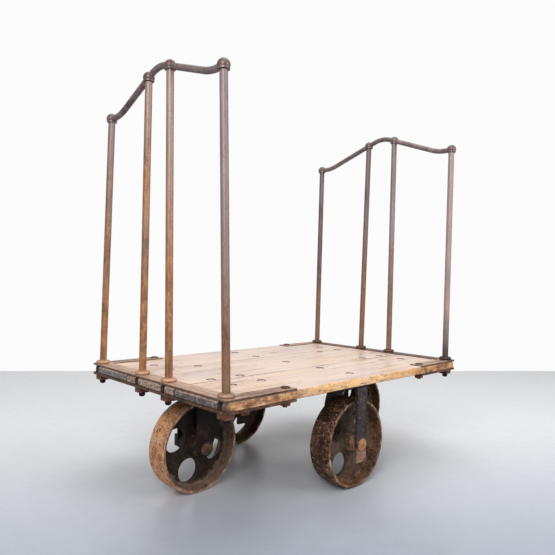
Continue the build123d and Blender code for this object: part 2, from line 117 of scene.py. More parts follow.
def power(name, description, default):
    """A lamp's power setting in watts."""
    return FloatProperty(name=name, description=description, subtype="POWER", default=default)


def brightness(name, description, default):
    """A setting of the surround's strength, where 1 is white."""
    return FloatProperty(
        name=name, description=description, subtype="FACTOR", default=default, min=0, max=1
    )


class DeckSettings(bpy.types.PropertyGroup):
    """Sizes and colours of the worn boards."""

    station_step: length("Station step", "Spacing of the sections along a board", 0.009)
    row_step: length("Row step", "Spacing of the points across a board", 0.012)
    outer_wear: length("Outer edge wear", "Typical rounding of the deck's outer edges", 0.0042)
    strap_wear: length("Edge wear under straps", "Rounding of the edges that the straps cover", 0.0052)
    joint_wear: length("Joint edge wear", "Typical rounding of the edges at the joints", 0.0013)
    corner_round: length("Corner rounding", "Rounding of the deck's four corners", 0.016)
    end_drop: length("End edge wear", "Drop of the top edge at the ends of the boards", 0.0045)
    top_wear: length("Top wear", "Depth of the shallow wear on the top", 0.0010)
    side_wear: length("Side wear", "Waviness of the long sides", 0.0014)
    bore_radius: length("Bore radius", "Mouth of the worn bores over the bolt heads", 0.0127)
    bore_depth: length("Bore depth", "Depth of the bores below the tops of the bolt heads", 0.0052)
    notch_radius: length("Notch radius", "Rounding of the notches behind the posts", 0.0088)
    split_count: IntProperty(name="Splits", description="Splits in each board", default=7, min=0)
    split_seed: IntProperty(name="Split seed", description="Seed of the first board's splits", default=40)
    # Pale also lays the painted highlight along the top edges of the long sides.
    pale: colour("Pale wood", "Worn and waxed top", (227, 203, 188))
    peach: colour("Peach wood", "Warmer clouds on the top", (231, 197, 169))
    cool: colour("Cool wood", "Greyed wax on the top", (211, 191, 181))
    warm: colour("Warm wood", "Darker grain of the top", (186, 150, 126))
    honey: colour("Honey wood", "Rubbed long sides", (250, 208, 150))
    amber: colour("Amber wood", "Darker grain of the long sides", (208, 146, 93))
    dab: colour("Dabs", "Brown dabs on the long sides", (140, 92, 56))
    stain: colour("Stain", "Iron and oil stains", (78, 55, 42))
    soot: colour("Soot", "Dirty end grain", (82, 72, 70))
    bare: colour("Bare end", "Rubbed patches of end grain", (196, 166, 146))
    ash: colour("Ashen end", "Greyer patches of end grain", (148, 140, 139))
    joint: colour("Joint", "Shadow of the joints in the end grain", (22, 20, 20))


class IronSettings(bpy.types.PropertyGroup):
    """Sizes and colours of the iron pieces' finishes."""

    edge_radius: length("Edge radius", "Softening of the forged edges", 0.0009)
    rub_radius: length("Rub radius", "Reach of the rubbed edges", 0.003)
    strap_rub: length("Strap rub", "Reach of the rubbed edges of the top straps", 0.002)
    bright: colour("Bright iron", "Rubbed brown bar", (172, 143, 126))
    tan: colour("Tan", "Waxed rust", (206, 170, 144))
    wax: colour("Wax", "Waxed flat straps", (190, 160, 142))
    patina: colour("Patina", "Handled brown bar", (145, 116, 99))
    steel: colour("Steel", "Rubbed grey bar", (152, 137, 135))
    pewter: colour("Pewter", "Greyer bar", (136, 120, 116))
    violet: colour("Violet iron", "Dark bar with a violet cast", (108, 93, 92))
    rust: colour("Rust", "Dry brown rust", (142, 102, 78))
    red: colour("Red rust", "Raw rust on the nuts", (122, 80, 65))
    orange: colour("Orange rust", "Bright rust", (208, 147, 98))
    ochre: colour("Ochre", "Dusty rust", (148, 112, 84))
    dun: colour("Dun", "Dusty brown casting", (112, 93, 79))
    earth: colour("Earth", "Brown casting", (84, 67, 56))
    # Umber also lays the painted shade on the sunk bolt heads' upright sides.
    umber: colour("Umber", "Old brown iron", (76, 57, 46))
    cocoa: colour("Cocoa", "Dark brown treads", (70, 48, 37))
    # Cocoa also lays the painted shade on the top straps' upright edges.
    slate: colour("Slate", "Blue-black forged bar", (64, 59, 60))
    black: colour("Black iron", "Forge-black iron", (38, 33, 32))
    fleck: colour("Flecks", "Pale specks", (236, 214, 190))


class StageSettings(bpy.types.PropertyGroup):
    """The camera, the floor and the light."""

    camera_place: FloatVectorProperty(
        name="Camera", description="Where the camera stands", subtype="TRANSLATION", unit="LENGTH",
        default=(-1.2438, -1.2418, 0.5957),
    )
    heading: angle("Heading", "Way the camera looks, from +X", 46.08)
    pitch: angle("Pitch", "How far it looks up", 0.27)
    roll: angle("Roll", "How far it is tipped", 1.27)
    focal_pixels: pixels("Focal length", "In pixels of the picture", 531.2)
    floor_line: pixels("Floor line", "Row of the picture where the floor ends", 371.0)
    floor: colour("Floor", "Pale painted floor", (238, 239, 243))
    # Painted reflection: a darker floor tone towards the camera's side stands in for a dark reflection.
    painted_floor_reflection: colour("Floor shade", "The floor's darker paint", (152, 160, 175))
    key_power: power("Key light", "Soft light to the left of the camera", 52.0)
    side_power: power("Side light", "Soft light on the right", 38.0)
    top_power: power("Top light", "Softbox overhead", 44.0)
    sky: brightness("Surround", "Even light from all round", 0.3)
    backdrop: brightness("Backdrop", "White that the camera and reflections see", 0.97)


class TruckSettings(bpy.types.PropertyGroup):
    """All settings of the truck."""

    deck: PointerProperty(name="Deck", description="The worn boards", type=DeckSettings)
    iron: PointerProperty(name="Iron", description="The iron pieces' finishes", type=IronSettings)
    stage: PointerProperty(name="Stage", description="Camera, floor and light", type=StageSettings)


class NodeSheet:
    """Short calls for the nodes of a material, a group or the world."""

    def __init__(self, tree):
        self.tree = tree

    def feed(self, socket, value):
        """Link an output to a socket, or set the socket's own value."""
        if isinstance(value, bpy.types.NodeSocket):
            self.tree.links.new(value, socket)
        elif socket.type == "RGBA" and len(value) == 3:
            socket.default_value = (*value, 1)
        else:
            socket.default_value = value

    def add(self, kind, inputs=None, **settings):
        """A node with its settings made and its inputs fed, by name or by place."""
        node = self.tree.nodes.new(kind)
        for key, value in settings.items():
            setattr(node, key, value)
        for key, value in (inputs or {}).items():
            self.feed(node.inputs[key], value)
        return node

    def math(self, operation, first, second=0.0, clamp=False):
        """One step of arithmetic."""
        node = self.add("ShaderNodeMath", {0: first, 1: second}, operation=operation, use_clamp=clamp)
        return node.outputs[0]

    def plus(self, first, second):
        """The sum of two values."""
        return self.math("ADD", first, second)

    def minus(self, first, second):
        """The first value less the second."""
        return self.math("SUBTRACT", first, second)

    def times(self, first, second):
        """The product of two values."""
        return self.math("MULTIPLY", first, second)

    def most(self, first, second):
        """The larger of two values."""
        return self.math("MAXIMUM", first, second)

    def size(self, value):
        """A value without its sign."""
        return self.math("ABSOLUTE", value)

    def vector(self, operation, first, second):
        """One step of arithmetic on vectors, as a vector."""
        node = self.add("ShaderNodeVectorMath", {0: first, 1: second}, operation=operation)
        return node.outputs["Vector"]

    def measure(self, operation, first, second=(0, 0, 0)):
        """A dot product or a length of vectors, as a value."""
        node = self.add("ShaderNodeVectorMath", {0: first, 1: second}, operation=operation)
        return node.outputs["Value"]

    def stretch(self, place, scale):
        """A place scaled along each axis."""
        return self.vector("MULTIPLY", place, scale)

    def parts(self, vector):
        """The X, Y and Z of a vector."""
        return self.add("ShaderNodeSeparateXYZ", {0: vector}).outputs

    def span(self, value, low, high, start=0.0, end=1.0, smooth=True):
        """The value's place between low and high, from start to end."""
        kind = "SMOOTHSTEP" if smooth else "LINEAR"
        inputs = {"Value": value, "From Min": low, "From Max": high, "To Min": start, "To Max": end}
        return self.add("ShaderNodeMapRange", inputs, interpolation_type=kind).outputs["Result"]

    def noise(self, place, scale=1.0, detail=4.0, rough=0.55, twist=0.0):
        """Fractal noise."""
        inputs = {
            "Vector": place, "Scale": scale, "Detail": detail, "Roughness": rough, "Distortion": twist,
        }
        return self.add("ShaderNodeTexNoise", inputs).outputs["Fac"]

    def patches(self, place, low, high, scale=1.0, detail=4.0, rough=0.55):
        """Mask of the places where noise passes low, full where it passes high."""
        return self.span(self.noise(place, scale, detail, rough), low, high)

    def waver(self, place, scale, reach, rough):
        """Noise that strays up to reach to either side of nought."""
        return self.span(self.noise(place, scale, 5.0, rough), 0.3, 0.7, -reach, reach)

    def spots(self, place, scale=1.0):
        """Distance to the nearest of a scatter of points."""
        return self.add("ShaderNodeTexVoronoi", {"Vector": place, "Scale": scale}).outputs["Distance"]

    def blend(self, share, first, second):
        """A value between two others."""
        node = self.add("ShaderNodeMix", {0: share, 2: first, 3: second}, data_type="FLOAT")
        return node.outputs[0]

    def mix(self, share, first, second, blend_type="MIX"):
        """A colour between two others."""
        node = self.add("ShaderNodeMix", data_type="RGBA", blend_type=blend_type, clamp_factor=True)
        for index, value in ((0, share), (6, first), (7, second)):
            self.feed(node.inputs[index], value)
        return node.outputs[2]

    def cover(self, shade, over, mask, strength=None):
        """The shade with a colour laid over it, as far as the mask and the strength say."""
        share = mask if strength is None else self.times(mask, strength)
        return self.mix(share, shade, over)

    def tint(self, shade, value):
        """The shade made darker or lighter."""
        grey = self.add("ShaderNodeCombineColor", {0: value, 1: value, 2: value}).outputs["Color"]
        return self.mix(1.0, shade, grey, "MULTIPLY")


def shader_group(name, inputs, outputs, fill):
    """The shader group of that name, made with named sockets and filled when it is first asked for."""
    if name in bpy.data.node_groups:
        return bpy.data.node_groups[name]
    tree = bpy.data.node_groups.new(name, "ShaderNodeTree")
    for direction, sockets in (("INPUT", inputs), ("OUTPUT", outputs)):
        for socket_name, kind in sockets.items():
            tree.interface.new_socket(socket_name, in_out=direction, socket_type=f"NodeSocket{kind}")
    given = tree.nodes.new("NodeGroupInput").outputs
    made = tree.nodes.new("NodeGroupOutput").inputs
    sheet = NodeSheet(tree)
    for socket_name, value in fill(sheet, given).items():
        sheet.feed(made[socket_name], value)
    return tree


def iron_skin_group():
    """Old iron: dark and light patches over a middle tone, fine grit and pale flecks."""
    inputs = {
        "Place": "Vector", "Scale": "Float", "Light": "Color", "Middle": "Color", "Dark": "Color",
        "Light Share": "Float", "Dark Share": "Float", "Softness": "Float",
        "Fleck": "Color", "Fleck Share": "Float", "Grit": "Float",
    }
    outputs = {"Color": "Color", "Dullness": "Float", "Height": "Float"}
    return shader_group("Iron skin", inputs, outputs, fill_iron_skin)


def fill_iron_skin(sheet, given):
    """The nodes of the iron skin group."""

    def soft_step(field, edge, start, end):
        """The field's step from start to end at an edge, over the group's softness."""
        low = sheet.minus(edge, given["Softness"])
        high = sheet.plus(edge, given["Softness"])
        return sheet.span(field, low, high, start, end)

    place = given["Place"]
    scale = given["Scale"]
    patches = sheet.noise(place, scale, detail=8, rough=0.66, twist=0.3)
    mottle = sheet.noise(place, sheet.times(scale, 5.3), detail=6, rough=0.7)
    clouds = sheet.noise(sheet.vector("ADD", place, (3.7, 1.9, 5.3)), scale, detail=7, rough=0.7)
    grit = sheet.noise(place, 520.0, detail=3, rough=0.6)
    dark_field = sheet.plus(sheet.times(patches, 0.6), sheet.times(mottle, 0.4))
    dark_edge = sheet.span(given["Dark Share"], 0, 1, 0.3, 0.7, smooth=False)
    dark = soft_step(dark_field, dark_edge, 1.0, 0.0)
    light_field = sheet.plus(sheet.times(clouds, 0.5), sheet.times(mottle, 0.5))
    light_edge = sheet.span(given["Light Share"], 0, 1, 0.7, 0.3, smooth=False)
    light = soft_step(light_field, light_edge, 0.0, 1.0)
    shade = sheet.cover(given["Middle"], given["Dark"], dark, 0.85)
    shade = sheet.cover(shade, given["Light"], light, 0.8)
    tint_low = sheet.minus(1.0, sheet.times(given["Grit"], 0.16))
    tint_high = sheet.plus(1.0, sheet.times(given["Grit"], 0.14))
    shade = sheet.tint(shade, sheet.span(grit, 0.3, 0.7, tint_low, tint_high))
    dots = sheet.span(sheet.spots(place, 190.0), 0.2, 0.38, 1.0, 0.0)
    drift = sheet.patches(place, 0.5, 0.6, scale=60.0, detail=4, rough=0.75)
    shade = sheet.cover(shade, given["Fleck"], sheet.times(dots, drift), given["Fleck Share"])
    dull = sheet.plus(sheet.span(mottle, 0.35, 0.65, -0.07, 0.07), sheet.times(dark, 0.12))
    height = sheet.plus(sheet.times(mottle, 0.7), sheet.times(grit, 0.2))
    height = sheet.minus(height, sheet.times(dark, 0.25))
    return {"Color": shade, "Dullness": dull, "Height": height}


def edge_rub_group():
    """Mask of the edges that hands and loads have rubbed."""
    inputs = {"Place": "Vector", "Radius": "Float"}
    return shader_group("Edge rub", inputs, {"Mask": "Float"}, fill_edge_rub)


def fill_edge_rub(sheet, given):
    """The nodes of the edge rub group."""
    rounded = sheet.add("ShaderNodeBevel", {"Radius": given["Radius"]}, samples=6).outputs["Normal"]
    flat = sheet.add("ShaderNodeNewGeometry").outputs["Normal"]
    bend = sheet.span(sheet.measure("DOT_PRODUCT", rounded, flat), 0.72, 0.97, 1.0, 0.0)
    worn = sheet.patches(given["Place"], 0.36, 0.6, scale=70.0, detail=5, rough=0.65)
    return {"Mask": sheet.times(bend, worn)}


def board_grain_group():
    """Lengthwise wood grain: streaks, fibres, hairline cracks, knots and wear."""
    inputs = {"Place": "Vector", "Shift": "Vector"}
    outputs = {name: "Float" for name in ("Streaks", "Fibres", "Cracks", "Knots", "Wear")}
    return shader_group("Board grain", inputs, outputs, fill_board_grain)


def fill_board_grain(sheet, given):
    """The nodes of the board grain group."""
    place = sheet.vector("ADD", given["Place"], given["Shift"])
    bow = sheet.noise(sheet.stretch(place, (1.6, 5.0, 5.0)), detail=2)
    lift = sheet.span(bow, 0, 1, -0.02, 0.02, smooth=False)
    bent = sheet.vector("ADD", place, sheet.add("ShaderNodeCombineXYZ", {"Y": lift}).outputs[0])
    strands = sheet.noise(sheet.stretch(bent, (2.4, 150.0, 150.0)), detail=4, rough=0.5)
    zones = sheet.patches(sheet.stretch(place, (4.0, 9.0, 9.0)), 0.46, 0.62, detail=2)
    knot_field = sheet.spots(sheet.stretch(place, (5.2, 9.5, 9.5)))
    return {
        "Streaks": sheet.noise(sheet.stretch(bent, (1.5, 46.0, 46.0)), detail=5, rough=0.6, twist=0.25),
        "Fibres": sheet.noise(sheet.stretch(bent, (14.0, 620.0, 620.0)), detail=3, rough=0.6),
        "Cracks": sheet.times(sheet.span(strands, 0.63, 0.68), zones),
        "Knots": sheet.span(knot_field, 0.05, 0.15, 1.0, 0.0),
        "Wear": sheet.noise(sheet.stretch(place, (3.0, 8.0, 8.0)), detail=5, rough=0.6),
    }


def new_material(name):
    """A material with its node calls, its principled shader and the piece's own coordinates."""
    material = bpy.data.materials.new(name)
    material.use_nodes = True
    sheet = NodeSheet(material.node_tree)
    shader = material.node_tree.nodes["Principled BSDF"]
    place = sheet.add("ShaderNodeTexCoord").outputs["Object"]
    return material, sheet, shader, place


def bump(sheet, shader, height, strength, distance):
    """Relief on the shader."""
    inputs = {"Height": height, "Strength": strength, "Distance": distance}
    node = sheet.add("ShaderNodeBump", inputs)
    sheet.feed(shader.inputs["Normal"], node.outputs["Normal"])


def iron_skin(sheet, place, iron, tones, scale=40.0, light_share=0.4, dark_share=0.4, softness=0.07,
              fleck_share=0.0, grit=1.0):
    """The iron skin group placed in a material. The tones are its light, middle and dark colours."""
    light, middle, dark = tones
    inputs = {
        "Place": place, "Scale": scale, "Light": light, "Middle": middle, "Dark": dark,
        "Light Share": light_share, "Dark Share": dark_share, "Softness": softness,
        "Fleck": iron.fleck, "Fleck Share": fleck_share, "Grit": grit,
    }
    return sheet.add("ShaderNodeGroup", inputs, node_tree=iron_skin_group()).outputs


def rubbed(sheet, place, radius):
    """The edge rub mask placed in a material."""
    inputs = {"Place": place, "Radius": radius}
    return sheet.add("ShaderNodeGroup", inputs, node_tree=edge_rub_group()).outputs["Mask"]


def upright(sheet):
    """Mask of the faces that stand upright."""
    normal = sheet.add("ShaderNodeNewGeometry").outputs["True Normal"]
    return sheet.span(sheet.size(sheet.parts(normal)["Z"]), 0.35, 0.75, 1.0, 0.0)


def coat_iron(sheet, shader, shade, skin, rough, metallic, relief):
    """Feed an iron skin to the shader. Old iron has no bright rim, so its glancing reflection is dim."""
    sheet.feed(shader.inputs["Base Color"], shade)
    sheet.feed(shader.inputs["Roughness"], sheet.math("ADD", skin["Dullness"], rough, clamp=True))
    shader.inputs["Metallic"].default_value = metallic
    shader.inputs["Specular Tint"].default_value = (0.2, 0.17, 0.16, 1)
    shader.inputs["Specular IOR Level"].default_value = 0.2
    bump(sheet, shader, skin["Height"], strength=0.6, distance=relief)


def shade_iron(name, iron, tones, rub=None, sides=None, rough=0.5, metallic=0.25, relief=0.0006,
               **skin_values):
    """A forged or cast finish. Rub is the colour of its worn edges, and sides that of the painted shade on
    its upright faces.
    """
    material, sheet, shader, place = new_material(name)
    skin = iron_skin(sheet, place, iron, tones, **skin_values)
    shade = skin["Color"]
    # Painted shade: the upright faces are darkened with the sides colour.
    if sides:
        shade = sheet.cover(shade, sides, upright(sheet), 0.8)
    if rub:
        shade = sheet.cover(shade, rub, rubbed(sheet, place, iron.rub_radius), 0.7)
    coat_iron(sheet, shader, shade, skin, rough, metallic, relief)
    return material


def shade_post(name, iron, low_tones, high_tones, start, end, collar, ball_foot):
    """A handled post: a black shank, part grime and part painted shade in its notch, then collar, a stem
    whose tones change from start to end, and a dark ball.
    """
    collar_top = STRAP_HIGH.z + 0.011
    collar_fade = 0.002
    shank_fade = 0.001
    material, sheet, shader, place = new_material(name)
    drawn = sheet.stretch(place, (1.0, 1.0, 0.3))
    height = sheet.parts(place)["Z"]
    low_skin = iron_skin(
        sheet, drawn, iron, low_tones, scale=16.0, light_share=0.42, dark_share=0.34, softness=0.13,
        fleck_share=0.22, grit=1.2,
    )
    high_skin = iron_skin(
        sheet, drawn, iron, high_tones, scale=9.0, light_share=0.42, dark_share=0.32, softness=0.16, grit=0.5
    )
    ball_skin = iron_skin(
        sheet, place, iron, (iron.pewter, iron.violet, iron.umber), scale=12.0, light_share=0.4,
        dark_share=0.3, softness=0.16, grit=0.3,
    )
    ragged = sheet.waver(drawn, 6.0, 0.3 * (end - start), rough=0.6)
    rise = sheet.span(sheet.plus(height, ragged), start, end)
    shade = sheet.cover(low_skin["Color"], high_skin["Color"], rise)
    at_collar = sheet.span(height, collar_top - collar_fade, collar_top + collar_fade, 0.6, 0.0)
    shade = sheet.cover(shade, collar, at_collar)
    ball = sheet.span(height, ball_foot - 0.004, ball_foot + 0.002)
    shade = sheet.cover(shade, ball_skin["Color"], ball)
    # Painted shade and grime: the shank below the strap top, down in the deck's notch, is laid near black.
    shank_grime_and_shade = sheet.span(height, STRAP_HIGH.z - shank_fade, STRAP_HIGH.z, 1.0, 0.0)
    shade = sheet.cover(shade, iron.black, shank_grime_and_shade)
    rough = sheet.span(ball, 0, 1, 0.44, 0.28)
    coat_iron(sheet, shader, shade, high_skin, rough, metallic=0.4, relief=0.00004)
    return material


def shade_top_strap(name, iron, arm_tones, bar_tones):
    """A flat strap with one finish on its arms and one on the bar across the deck, and painted shade on its
    upright edges.
    """
    material, sheet, shader, place = new_material(name)
    along = sheet.size(sheet.parts(place)["X"])
    shared = {"scale": 22.0, "softness": 0.1, "fleck_share": 0.06, "grit": 0.6}
    arm = iron_skin(sheet, place, iron, arm_tones, light_share=0.44, dark_share=0.36, **shared)
    bar = iron_skin(sheet, place, iron, bar_tones, light_share=0.46, dark_share=0.32, **shared)
    shade = sheet.cover(arm["Color"], bar["Color"], sheet.span(along, BAR_START - 0.02, BAR_START + 0.01))
    # Painted shade: the strap's upright edges are darkened with cocoa.
    shade = sheet.cover(shade, iron.cocoa, upright(sheet), 0.8)
    shade = sheet.cover(shade, iron.rust, rubbed(sheet, place, iron.strap_rub), 0.25)
    coat_iron(sheet, shader, shade, bar, rough=0.38, metallic=0.25, relief=0.0005)
    return material


def shade_hanger(name, iron, axle_height):
    """Blue-black forged bar with pale specks, worn brown below the axle."""
    material, sheet, shader, place = new_material(name)
    bar = iron_skin(
        sheet, place, iron, (iron.patina, iron.slate, iron.black), scale=26.0, light_share=0.26,
        softness=0.08, fleck_share=0.25,
    )
    foot = iron_skin(
        sheet, place, iron, (iron.bright, iron.ochre, iron.umber), dark_share=0.5, softness=0.1,
        fleck_share=0.1,
    )
    height = sheet.plus(sheet.parts(place)["Z"], sheet.waver(place, 55.0, 0.012, rough=0.7))
    low = sheet.span(height, axle_height - 0.022, axle_height - 0.002, 1.0, 0.0)
    shade = sheet.cover(bar["Color"], foot["Color"], low)
    shade = sheet.cover(shade, iron.patina, rubbed(sheet, place, iron.rub_radius), 0.5)
    coat_iron(sheet, shader, shade, bar, rough=0.44, metallic=0.3, relief=0.0005)
    return material


def shade_wheel(name, iron, centre, axis, tread, web, rim, hub, tread_flecks):
    """A cast wheel with a finish each for its tread, web, rim and hub, and with rubbed lips."""
    # It stands on the floor, so its radius is the height of its centre
    tread_radius = centre[2]
    rim_half_width = 0.035
    material, sheet, shader, place = new_material(name)
    spoke = sheet.vector("SUBTRACT", place, tuple(centre))
    radius = sheet.measure("LENGTH", sheet.vector("CROSS_PRODUCT", spoke, tuple(axis)))
    across = sheet.size(sheet.measure("DOT_PRODUCT", spoke, tuple(axis)))
    web_skin = iron_skin(
        sheet, place, iron, web, scale=18.0, light_share=0.42, softness=0.14, fleck_share=0.03, grit=0.6
    )
    rim_skin = iron_skin(
        sheet, place, iron, rim, scale=22.0, light_share=0.42, dark_share=0.36, softness=0.14,
        fleck_share=0.12, grit=0.7,
    )
    tread_skin = iron_skin(
        sheet, place, iron, tread, scale=34.0, light_share=0.42, dark_share=0.46, softness=0.06,
        fleck_share=tread_flecks,
    )
    hub_skin = iron_skin(
        sheet, place, iron, hub, scale=30.0, light_share=0.42, dark_share=0.36, softness=0.14, grit=0.6
    )
    worn_radius = sheet.plus(radius, sheet.waver(place, 60.0, 0.006, rough=0.7))
    outside_hub = sheet.span(worn_radius, 0.02, 0.03)
    on_rim = sheet.span(worn_radius, tread_radius - 0.029, tread_radius - 0.015)
    on_tread = sheet.span(radius, tread_radius - 0.0042, tread_radius - 0.0018)
    shade = sheet.cover(hub_skin["Color"], web_skin["Color"], outside_hub)
    shade = sheet.cover(shade, rim_skin["Color"], on_rim)
    shade = sheet.cover(shade, tread_skin["Color"], on_tread)
    lip = sheet.span(across, rim_half_width - 0.0018, rim_half_width - 0.0003)
    lip = sheet.times(lip, sheet.span(radius, tread_radius - 0.012, tread_radius - 0.008))
    scuffed = sheet.span(sheet.noise(place, 30.0, detail=6, rough=0.75), 0.46, 0.64, 0.0, 0.7)
    shade = sheet.cover(shade, iron.tan, lip, scuffed)
    coat_iron(sheet, shader, shade, tread_skin, rough=0.56, metallic=0.12, relief=0.0012)
    return material


def shade_board(name, deck, shift, tone, bare, bare_share):
    """A deck board: waxed pale top, honey sides with stains, sooty end grain and dark underside."""
    material, sheet, shader, place = new_material(name)
    inputs = {"Place": place, "Shift": shift}
    grain = sheet.add("ShaderNodeGroup", inputs, node_tree=board_grain_group()).outputs
    parts = sheet.parts(place)
    facing = sheet.parts(sheet.add("ShaderNodeNewGeometry").outputs["True Normal"])
    up = sheet.span(facing["Z"], 0.45, 0.85)
    down = sheet.span(facing["Z"], -0.8, -0.35, 1.0, 0.0)
    at_end = sheet.span(sheet.size(parts["X"]), DECK_HIGH.x - 0.007, DECK_HIGH.x - 0.003)
    endwise = sheet.times(sheet.span(sheet.size(facing["X"]), 0.6, 0.9), at_end)
    inside = sheet.span(sheet.size(parts["Y"]), DECK_HIGH.y - 0.0185, DECK_HIGH.y - 0.0165, 1.0, 0.0)
    shade = sheet.cover(board_side(sheet, deck, grain, parts, place), deck.soot, inside)
    shade = sheet.cover(shade, board_top(sheet, deck, grain, parts, place, tone), up)
    shade = sheet.cover(shade, board_end(sheet, deck, parts, place, bare, bare_share), endwise)
    below = sheet.cover(deck.stain, deck.soot, sheet.span(grain["Streaks"], 0.38, 0.62))
    below = sheet.cover(below, deck.dab, sheet.span(grain["Wear"], 0.48, 0.66, 0.0, 0.5))
    shade = sheet.cover(shade, below, down, 0.85)
    sheet.feed(shader.inputs["Base Color"], shade)
    waxed = sheet.span(grain["Wear"], 0.3, 0.7, 0.32, 0.46)
    sheet.feed(shader.inputs["Roughness"], sheet.blend(up, 0.62, waxed))
    shader.inputs["Specular IOR Level"].default_value = 0.4
    height = sheet.plus(sheet.times(grain["Fibres"], 0.35), grain["Streaks"])
    height = sheet.minus(height, sheet.times(grain["Cracks"], 0.9))
    bump(sheet, shader, height, strength=0.3, distance=0.0006)
    return material


def seam_gap(sheet, parts):
    """Distance to the nearest joint between the boards."""
    return sheet.size(sheet.minus(sheet.size(parts["Y"]), JOINT_EDGE))


def board_top(sheet, deck, grain, parts, place, tone):
    """Colour of a board's worn top."""
    clouds = sheet.noise(sheet.stretch(place, (2.6, 4.4, 4.4)), detail=4, rough=0.6, twist=0.6)
    shade = sheet.cover(deck.pale, deck.cool, sheet.span(clouds, 0.47, 0.64))
    blush = sheet.noise(sheet.stretch(place, (3.4, 7.5, 7.5)), detail=5, rough=0.62, twist=0.8)
    shade = sheet.cover(shade, deck.peach, sheet.span(blush, 0.48, 0.62, 0.0, 0.75))
    shade = sheet.cover(shade, deck.warm, sheet.span(grain["Streaks"], 0.46, 0.72), tone)
    shade = sheet.tint(shade, sheet.span(grain["Fibres"], 0.3, 0.7, 0.95, 1.04))
    rear = sheet.span(parts["X"], DECK_LOW.x + 0.04, DECK_LOW.x + 0.33, 1.0, 0.0)
    front = sheet.span(parts["X"], DECK_HIGH.x - 0.21, DECK_HIGH.x - 0.035, 0.0, 0.7)
    side = sheet.span(sheet.size(parts["Y"]), DECK_HIGH.y - 0.046, DECK_HIGH.y + 0.001, 0.0, 0.6)
    grime = sheet.most(sheet.most(rear, front), side)
    smudge = sheet.patches(sheet.stretch(place, (6.0, 11.0, 11.0)), 0.46, 0.62, detail=6, rough=0.66)
    shade = sheet.cover(shade, deck.warm, sheet.times(grime, smudge), 0.8)
    blot_place = sheet.stretch(place, (0.5, 1.0, 1.0))
    blots = sheet.patches(blot_place, 0.59, 0.7, scale=15.0, detail=8, rough=0.76)
    shade = sheet.cover(shade, deck.dab, blots, 0.5)
    pit_place = sheet.stretch(place, (0.25, 1.0, 1.0))
    pits = sheet.patches(pit_place, 0.64, 0.7, scale=110.0, detail=3, rough=0.6)
    shade = sheet.cover(shade, deck.stain, pits, 0.45)
    shade = sheet.cover(shade, deck.stain, grain["Cracks"], 0.8)
    seam = sheet.span(seam_gap(sheet, parts), 0.0008, 0.003, 1.0, 0.0)
    dirt = sheet.patches(sheet.stretch(place, (7.0, 30.0, 30.0)), 0.46, 0.58, detail=4, rough=0.6)
    shade = sheet.cover(shade, deck.stain, seam, dirt)
    return sheet.cover(shade, deck.stain, grain["Knots"], 0.6)


def board_side(sheet, deck, grain, parts, place):
    """Colour of a board's rubbed and stained long side, with a painted highlight along its top edge."""
    reach = sheet.size(parts["X"])
    long_place = sheet.stretch(place, (1.0, 2.0, 2.0))
    longer_place = sheet.stretch(place, (1.0, 3.2, 3.2))
    shade = sheet.cover(deck.honey, deck.amber, sheet.span(grain["Streaks"], 0.42, 0.72))
    glow = sheet.patches(longer_place, 0.44, 0.58, scale=22.0, detail=6, rough=0.7)
    shade = sheet.cover(shade, deck.amber, glow, 0.45)
    shade = sheet.cover(shade, deck.amber, sheet.span(parts["X"], 0.0, 0.4, 0.0, 0.75))
    light = sheet.patches(long_place, 0.5, 0.62, scale=34.0, detail=5, rough=0.65)
    shade = sheet.cover(shade, deck.peach, light, 0.5)
    # Painted highlight: the top edge of the long side is laid pale where the light patches fall.
    painted_highlight_edge = sheet.span(parts["Z"], DECK_HIGH.z - 0.009, DECK_HIGH.z - 0.003, 0.0, 0.7)
    shade = sheet.cover(shade, deck.pale, painted_highlight_edge, light)
    dabs = sheet.patches(longer_place, 0.5, 0.62, scale=36.0, detail=7, rough=0.74)
    foot = sheet.span(parts["Z"], DECK_LOW.z + 0.004, DECK_HIGH.z - 0.004, 0.95, 0.4)
    shade = sheet.cover(shade, deck.dab, dabs, foot)
    smears = sheet.patches(long_place, 0.57, 0.67, scale=21.0, detail=8, rough=0.74)
    shade = sheet.cover(shade, deck.stain, smears, 0.75)
    strap_soot = sheet.span(reach, STRAP_LOW.x - 0.07, STRAP_LOW.x + 0.05, 0.0, 0.8)
    singe = sheet.noise(long_place, 26.0, detail=7, rough=0.72)
    shade = sheet.cover(shade, deck.dab, strap_soot, sheet.span(singe, 0.38, 0.56))
    shade = sheet.cover(shade, deck.stain, strap_soot, sheet.span(singe, 0.5, 0.62))
    corner = sheet.span(reach, DECK_HIGH.x - 0.018, DECK_HIGH.x - 0.005)
    return sheet.cover(shade, deck.stain, corner, 0.7)


def board_end(sheet, deck, parts, place, bare, bare_share):
    """Colour of a board's dirty end grain."""
    edge_shift = 0.24 * bare_share
    pores = sheet.patches(sheet.stretch(place, (1.0, 70.0, 190.0)), 0.42, 0.6, detail=6, rough=0.75)
    shade = sheet.cover(deck.soot, deck.stain, pores)
    patch_place = sheet.stretch(place, (1.0, 52.0, 84.0))
    patches = sheet.patches(patch_place, 0.6 - edge_shift, 0.68 - edge_shift, detail=7, rough=0.8)
    broken = sheet.patches(sheet.stretch(place, (1.0, 150.0, 230.0)), 0.4, 0.56, detail=4, rough=0.7)
    shade = sheet.cover(shade, bare, sheet.times(patches, broken), 0.9)
    sparks = sheet.patches(sheet.stretch(place, (1.0, 80.0, 120.0)), 0.6, 0.68, detail=5, rough=0.8)
    shade = sheet.cover(shade, deck.amber, sparks, 0.5)
    return sheet.cover(shade, deck.joint, sheet.span(seam_gap(sheet, parts), 0.0015, 0.003, 0.9, 0.0))


def dress(names, material):
    """Give CAD nodes a finish."""
    for name in names:
        cad_nodes[name].data.materials.clear()
        cad_nodes[name].data.materials.append(material)


